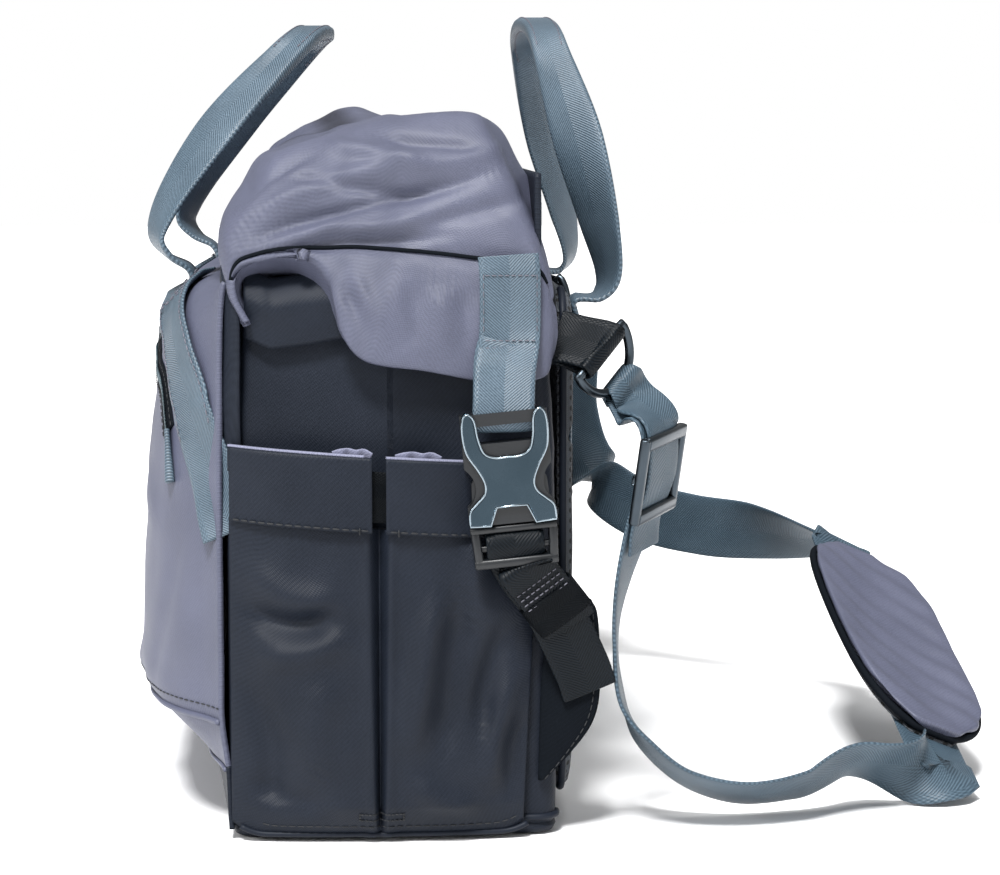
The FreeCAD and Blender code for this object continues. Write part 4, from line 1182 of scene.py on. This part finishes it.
def makeBuckle(name, k):
    makePlate(name, k)
    across = (0, 1, 0)
    frameBars = [bar(inBuckle((3.7, -14.4, -12.5)), inBuckle((3.7, -13.6, -27)), (1, 0, 0), 6.2, 3.4),
                 bar(inBuckle((3.7, 14.4, -12.5)), inBuckle((3.7, 13.6, -27)), (1, 0, 0), 6.2, 3.4),
                 bar(inBuckle((3.7, -16, -12.9)), inBuckle((3.7, 16, -12.9)), (1, 0, 0), 6.6, 3.0),
                 bar(inBuckle((3.7, -15.4, -25.6)), inBuckle((3.7, 15.4, -25.6)), (1, 0, 0), 6.4, 3.8),
                 bar(inBuckle((3.7, -13, -20)), inBuckle((3.7, 13, -20)), (1, 0, 0), 3.4, 2.4),
                 bar(inBuckle((3.7, 0, -12)), inBuckle((3.7, 0, 4)), across, 2.2, 2.4)]
    points, faces = joined(frameBars)
    male = piece("buckle_male_frame_" + name, points, faces, "black_plastic", "bag", side=k)
    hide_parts("buckle_male_" + name)
    for node in ("buckle_female_", "buckle_prong_front_", "buckle_prong_back_"):
        dress(node + name, "black_plastic")


def makeClosureStrap(name, k):
    # Down the ear, out over the pocket, round the buckle's top bar and up again behind itself.
    barAt = inBuckle((3.7, 0, 27.5))
    flat = 177.6 + closure["thickness"] / 2
    route = [(flat - 1.6, closure["y"] - 0.6, closure["top"] + 3), (flat, closure["y"], closure["top"] - 6),
             (flat + 0.6, closure["y"] - 0.2, closure["top"] - 26), (184.6, barAt[1] + 1.0, barAt[2] + 17),
             (189.0, barAt[1] + 0.3, barAt[2] + 4), (189.6, barAt[1], barAt[2] - 2),
             (187.6, barAt[1], barAt[2] - 4.4), (184.6, barAt[1], barAt[2] - 2),
             (183.2, barAt[1] + 0.4, barAt[2] + 6), (180.9, barAt[1] + 0.9, barAt[2] + 20),
             (180.4, closure["y"] - 0.4, barAt[2] + 27)]
    band = strap("closure_strap_" + name, route, (0, 1, 0.02), closure["width"], closure["thickness"],
                 "blue_webbing", "closure_" + name, 200, side=k)
    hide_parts("upper_strap_" + name)
    runs = []
    for height in (186.5, 189.2):
        row = [(flat + 2.4 + (192 - height) * 0.09, closure["y"] + s, height) for s in (-9.6, 9.6)]
        runs.append(stitchRun(row, (1, 0, 0), 1.7, 0.5, 0.28))
    for s in (-9.8, 9.8):
        row = [(flat + 1.15, closure["y"] + s, 214), (flat + 1.5, closure["y"] + s, 192)]
        runs.append(stitchRun(row, (1, 0, 0), 2.2, 0.8, 0.24))
    row = [(flat + 1.1, closure["y"] + s, 213) for s in (-9.6, 9.6)]
    runs.append(stitchRun(row, (1, 0, 0), 1.7, 0.5, 0.28))
    sewn("closure_stitching_" + name, runs, "pale_thread", "closure_" + name, side=k)


def makeLowerStrap(name, k):
    # Round the male half's bar, then back and down to the wing, with its tail folded back over it.
    top = inBuckle((3.4, 0, -20))
    route = [inBuckle((1.2, 0, -16)), inBuckle((5.4, 0, -15.4)), inBuckle((7.0, 0, -19.5)),
             inBuckle((5.0, 0, -23.6)), inBuckle((1.2, 0.4, -25)), (183.6, top[1] + 6.5, top[2] - 14),
             (179.0, top[1] + 14, top[2] - 24), (174.6, 69.5, 67.0), (172.6, 73.5, 56)]
    across = [(0, 1, 0.1), (0, 1, 0.1), (0, 1, 0.12), (0, 0.98, 0.2), (0, 0.94, 0.3), (0, 0.84, 0.52),
              (0, 0.74, 0.66), (0, 0.62, 0.78), (0, 0.6, 0.8)]
    band = strap("lower_strap_webbing_" + name, route, across, 21.5, 1.9, "black_webbing", "bag",
                 150, side=k)
    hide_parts("lower_strap_" + name)
    along = unit(np.array([-4.6, 7.5, -10.0]))
    start = np.array([185.2, top[1] + 4.5, top[2] - 9.5])
    tail = [start - along * 1, start + along * 6, start + along * 13, start + along * 22, start + along * 31]
    tail = [p + (o, 0, 0) for p, o in zip(tail, (2.6, 2.9, 3.1, 2.6, 2.0))]
    strap("strap_tail_" + name, tail, (0, 0.8, 0.6), 21.0, 1.7, "black_webbing", "bag", 70,
          side=k)
    fold = [tail[0] + (1.4, -0.3, 1.6), tail[0] + (1.9, 0, 0.2), tail[0] + along * 6 + (1.5, 0, 0)]
    strap("strap_tail_fold_" + name, fold, (0, 0.8, 0.6), 21.0, 2.2, "black_webbing", "bag",
          26, side=k)
    wide = unit(np.array([0, 0.8, 0.6]))
    rows = [[tail[1] + along * d - wide * 9.3 + (1.5, 0, 0), tail[1] + along * d + wide * 9.3 + (1.5, 0, 0)]
            for d in (0, 2.6, 5.2, 7.8)]
    runs = [stitchRun(row, (1, 0, 0), 1.6, 0.5, 0.3) for row in rows]
    sewn("strap_tail_stitching_" + name, runs, "pale_thread", "bag", side=k)
    middle = start + along * 19 + (0.6, 0, 0)
    out = unit(np.cross(wide, along))
    out = out * np.sign(out[0])
    turn = np.linspace(0, 2 * math.pi, 13)[:-1]
    ring = [middle + wide * np.sign(np.cos(a)) * abs(np.cos(a)) ** 0.5 * 11.8
            + out * np.sign(np.sin(a)) * abs(np.sin(a)) ** 0.6 * 4.0 for a in turn]
    loop = straightPath(ring + [ring[0]], 61)[:-1]
    half = np.linspace(-7, 7, 15)
    grid = loop[:, None] + along[None, None] * half[None, :, None]
    keeper = sheet("elastic_keeper_" + name, grid, "elastic", "bag", 1.0, k, tuple(middle),
                   ring=True)
    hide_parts("strap_keeper_" + name)


def makeWing(name, k):
    # A triangle of doubled cloth sewn into the back corner, edge-stitched.
    outline = softPath(np.array([(56.5, 22, 0), (66, 32, 0), (75, 45, 0), (77.5, 60, 0), (76.5, 84, 0),
                                 (74, 91, 0)]), 50)[:, :2]
    root = straightPath(np.array([(54.0, 22.0), (55.0, 60.0), (60.0, 100.0)]), 50)
    t = np.linspace(0, 1, 20)[:, None, None]
    flat = root[None] * (1 - t) + outline[None] * t
    x = 171.2 + 1.0 * np.sin(t[..., 0] * 3) + waves(flat[..., 0], flat[..., 1], 18, 81) * 0.5
    grid = np.stack([x, flat[..., 0], flat[..., 1]], -1)
    wing = sheet("wing_cloth_" + name, grid, "dark_lining", "bag", 1.6, k)
    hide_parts("anchor_wing_" + name)
    line = grid[17] + (0.1, 0, 0)
    sewn("wing_stitching_" + name, [stitchRun(line, (1, 0, 0), 2.3, 0.8, 0.28)], "dark_thread", "bag",
         side=k)


for name, k in sides.items():
    makeBuckle(name, k)
    makeClosureStrap(name, k)
    makeLowerStrap(name, k)
    makeWing(name, k)
print("closure ready")


# shoulder strap

ring = {"middle": (165.0, 77.5, 184.0), "along": (-0.50, 0.58, 0.64), "bar": 30.0, "depth": 17.0, "wire": 3.6}
slider = {"middle": (163.5, 97.0, 138.0), "across": (-0.88, 0.46, 0.06), "long": 33.0, "half": 18.6}
shoulder = {"width": 30.0, "thickness": 2.0}
pad = {"start": (105.0, 217.0, 20.0), "end": (-33.0, 207.0, 71.0), "tilt": (0.05, 0.88, -0.47), "width": 60.0}


def squareTo(direction, along):
    # The part of a direction that is square to another, at unit length.
    along = unit(np.asarray(along, float))
    direction = np.asarray(direction, float)
    return unit(direction - along * (direction @ along))


ringAlong = unit(np.array(ring["along"]))
ringDown = squareTo((0, 0, -1), ringAlong)
sliderDown = squareTo((-0.1, -0.14, -1.0), slider["across"])
padStart, padEnd = np.array(pad["start"]), np.array(pad["end"])
padAlong = unit(padEnd - padStart)
padAcross = squareTo(pad["tilt"], padAlong)


def makeRing(name, k):
    # Half an ellipse closed by a straight bar, as one bent wire.
    turn = np.linspace(0, math.pi, 40)[:, None]
    middle = np.array(ring["middle"])
    bow = middle + ringAlong * np.cos(turn) * ring["bar"] / 2 + ringDown * np.sin(turn) * ring["depth"]
    straight = np.linspace(bow[-1], bow[0], 16)[1:-1]
    wire = tube("d_ring_wire_" + name, np.vstack([bow, straight]), ring["wire"] / 2, "gunmetal",
                "shoulder_strap", "gunmetal", ring=True, side=k, corners=14)
    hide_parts("d_ring_" + name)


def makeTab(name, k):
    # Doubled webbing from the back corner to a sleeve folded over the ring's bar.
    middle = np.array(ring["middle"])
    root = np.array([161.0, 61.0, 189.0])
    back = unit(root - middle - ringAlong * ((root - middle) @ ringAlong))
    side = unit(np.cross(ringAlong, back))
    wrap = [middle + (back * math.cos(a) + side * math.sin(a)) * 3.1
            for a in np.radians((60, 105, 180, 255, 300))]
    route = [root + side * 1.1, (root + middle + back * 4) / 2 + side * 1.3] + wrap
    route += [(root + middle + back * 4) / 2 - side * 1.3, root - side * 1.1]
    across = [tuple(ringAlong)] * 9
    tab = strap("ring_tab_" + name, route, across, [23, 23, 24, 24, 24, 24, 24, 23, 23], 1.9,
                "black_webbing", None, 110, side=k)
    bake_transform(tab)
    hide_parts("strap_tab_" + name)


def shoulderRoute():
    # Listed points down from the near ring, along the floor, up through the pad and on to the far ring.
    middle = np.array(ring["middle"])
    start = middle + ringDown * (ring["depth"] + ring["wire"] / 2 + 1.8)
    down = sliderDown * slider["long"] * 0.55
    sliderAt = np.array(slider["middle"])
    out = unit(np.cross(sliderDown, np.array(slider["across"])))
    near = [start, start + (2.2, 5.0, -7.5), sliderAt - down - out * 1.2, sliderAt + out * 2.2,
            sliderAt + down - out * 1.2, (161, 87.5, 98.0), (158, 84.5, 74.0), (157, 86.5, 52.0),
            (157, 95.0, 34.0), (157, 111.0, 19.5), (156, 133.0, 12.5), (151, 157.0, 14.0), (141, 181.0, 21.0)]
    nearAcross = [ringAlong, (-0.7, 0.55, 0.4), slider["across"], slider["across"], slider["across"],
                  (-0.95, 0.30, 0), (-1, 0.12, 0), (-1, 0.1, 0.05), (-0.95, 0, -0.3), (-0.9, 0.1, -0.42),
                  (-0.85, 0.1, -0.45), (-0.78, 0.2, -0.42), (-0.65, 0.4, -0.35)]
    sleeve = [padStart - padAlong * 20, padStart - padAlong * 13, padStart, (padStart + padEnd) / 2, padEnd,
              padEnd + padAlong * 13, padEnd + padAlong * 20]
    last = start * (-1, 1, 1)
    far = [(-98, 178, 76), (-122, 150, 76), (-142, 122, 82), (-156, 100, 100), (-162, 92, 128),
           last + (-2.0, 4.0, -12.0), last]
    farAcross = [(0, 0.5, -0.85), (0, 0.2, -0.98), (0.1, 0.2, -0.95), (0.3, 0.6, -0.5), (0.5, 0.8, -0.1),
                 (0.5, 0.7, 0.4), ringAlong * (-1, 1, 1)]
    return np.vstack(near + sleeve + far), np.vstack(nearAcross + [padAcross] * 7 + farAcross)


def makeShoulder():
    route, across = shoulderRoute()
    width = np.full(len(route), shoulder["width"])
    width[:2] = 19, 24              # gathered where it passes the ring
    band = strap("shoulder_strap_webbing", route, across, width, shoulder["thickness"],
                 "teal_webbing", "shoulder_strap", 520)
    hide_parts("shoulder_webbing")
    # the second layer that comes back from the ring, and its sewn end below the slider
    sliderAt = np.array(slider["middle"])
    across = np.array(slider["across"])
    out = unit(np.cross(sliderDown, across))
    outer = unit(np.cross(ringAlong, ringDown))
    outer = outer * np.sign(outer @ out)
    bow = np.array(ring["middle"]) + ringDown * ring["depth"]
    layer = [bow - outer * 2.6 + ringDown * 4, bow - outer * 2.9, bow - outer * 1.9 - ringDown * 2.4,
             bow + outer * 1.9 - ringDown * 2.4, bow + outer * 3.2, bow + outer * 3.4 + ringDown * 7,
             sliderAt - sliderDown * 19 + out * 1.0, sliderAt + out * 4.4,
             sliderAt + sliderDown * 19 + out * 1.0, sliderAt + sliderDown * 30 + out * 1.4]
    layerAcross = [ringAlong] * 5 + [across * 0.4 + ringAlong * 0.6] + [across] * 4
    strap("shoulder_strap_return", layer, layerAcross, [18, 17, 16, 16, 18, 22, 29, 29, 29, 29], 1.8,
          "teal_webbing", "shoulder_strap", 160)


def makeSlider():
    # A cast ladder: two rails, two end bars over the strap and a middle bar under it.
    middle = np.array(slider["middle"])
    wide = unit(np.array(slider["across"]))
    out = unit(np.cross(sliderDown, wide))
    half = slider["long"] / 2
    reach = slider["half"]

    def at(a, w, o):
        return middle + sliderDown * a + wide * w + out * o

    parts = [bar(at(-half, k * reach, 3.0), at(half, k * reach, 3.0), out, 4.0, 4.2, 0.7) for k in (-1, 1)]
    parts += [bar(at(k * (half - 2.2), -reach, 3.7), at(k * (half - 2.2), reach, 3.7), out, 3.2, 5.4, 0.7)
              for k in (-1, 1)]
    parts += [bar(at(0, -reach, 0.6), at(0, reach, 0.6), out, 2.0, 4.4)]
    points, faces = joined(parts)
    ladder = piece("slider_frame", points, faces, "gunmetal", "shoulder_strap")
    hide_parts("strap_slider")


def padSpread(t):
    # The pad's half width along its length: full in the middle and round at both ends.
    return (1 - abs(2 * t - 1) ** 4.5) ** 0.5


def makePad():
    length = np.linalg.norm(padEnd - padStart)
    t = np.array([0.0, 0.03, 0.09, 0.2, 0.35, 0.5, 0.65, 0.8, 0.91, 0.97, 1.0])
    spread = np.clip(padSpread(t), 0.35, 1)
    face = -np.cross(padAlong, padAcross)
    rise = 4.0 * (2 * t - 1) ** 2
    outer = [padStart + padAlong * length * s + face * (2.6 + r) for s, r in zip(t, rise)]
    cover = strap("pad_cover_cloth", outer, padAcross, pad["width"] * spread, 7.0 * np.clip(spread, 0.5, 1),
                  "slate_fabric", "pad", 160, curl=-6.0, corners=64, edge=0.7, face=0.8)
    mesh = cover.data
    points = np.empty(len(mesh.vertices) * 3)
    mesh.vertices.foreach_get("co", points)
    points = points.reshape(-1, 3) / mm
    normals = np.empty(len(mesh.vertices) * 3)
    mesh.vertices.foreach_get("normal", normals)
    local = points - padStart
    along, wide = local @ padAlong, local @ padAcross
    quilt = np.sin((along + wide * 0.8) * 2 * math.pi / 21.0) * 0.9 + waves(along, wide, 30, 91) * 1.6
    quilt = quilt * bounded(30 - abs(wide), 0, 8) * bounded(np.minimum(along, length - along), 0, 12)
    points = points + normals.reshape(-1, 3) * quilt[:, None] * 0.8
    mesh.vertices.foreach_set("co", (points * mm).ravel())
    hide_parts("pad_cover")
    inner = [padStart + padAlong * length * s + face * (-3.4 + r) for s, r in zip(t, rise)]
    lining = strap("pad_mesh_cloth", inner, padAcross, pad["width"] * spread * 0.94,
                   4.4 * np.clip(spread, 0.5, 1), "air_mesh", "pad", 120, curl=-6.0, corners=48,
                   edge=0.7, face=0.8)
    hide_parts("pad_mesh")
    fine = np.linspace(0.005, 0.995, 90)
    half = np.clip(padSpread(fine), 0.3, 1) * pad["width"] / 2
    rim = [padStart + padAlong * length * s + padAcross * h * k + face * (-0.6 + 4.0 * (2 * s - 1) ** 2
                                                                         + 6.0 * (h / 30) ** 2)
           for k in (1, -1) for s, h in list(zip(fine, half))[::k]]
    tube("pad_piping", straightPath(rim + [rim[0]], 240)[:-1], 1.6, "dark_lining", "pad", "slate_fabric",
         ring=True)
    inset = [p + (padStart + padAlong * length * 0.5 - p) * 0.06 + face * 3.4 for p in rim]
    sewn("pad_stitching", [stitchRun(straightPath(inset, 240), face, 2.4, 0.9, 0.28)], "pale_thread", "pad")


for name, k in sides.items():
    makeRing(name, k)
    makeTab(name, k)
makeShoulder()
makeSlider()
makePad()
print("shoulder strap ready")
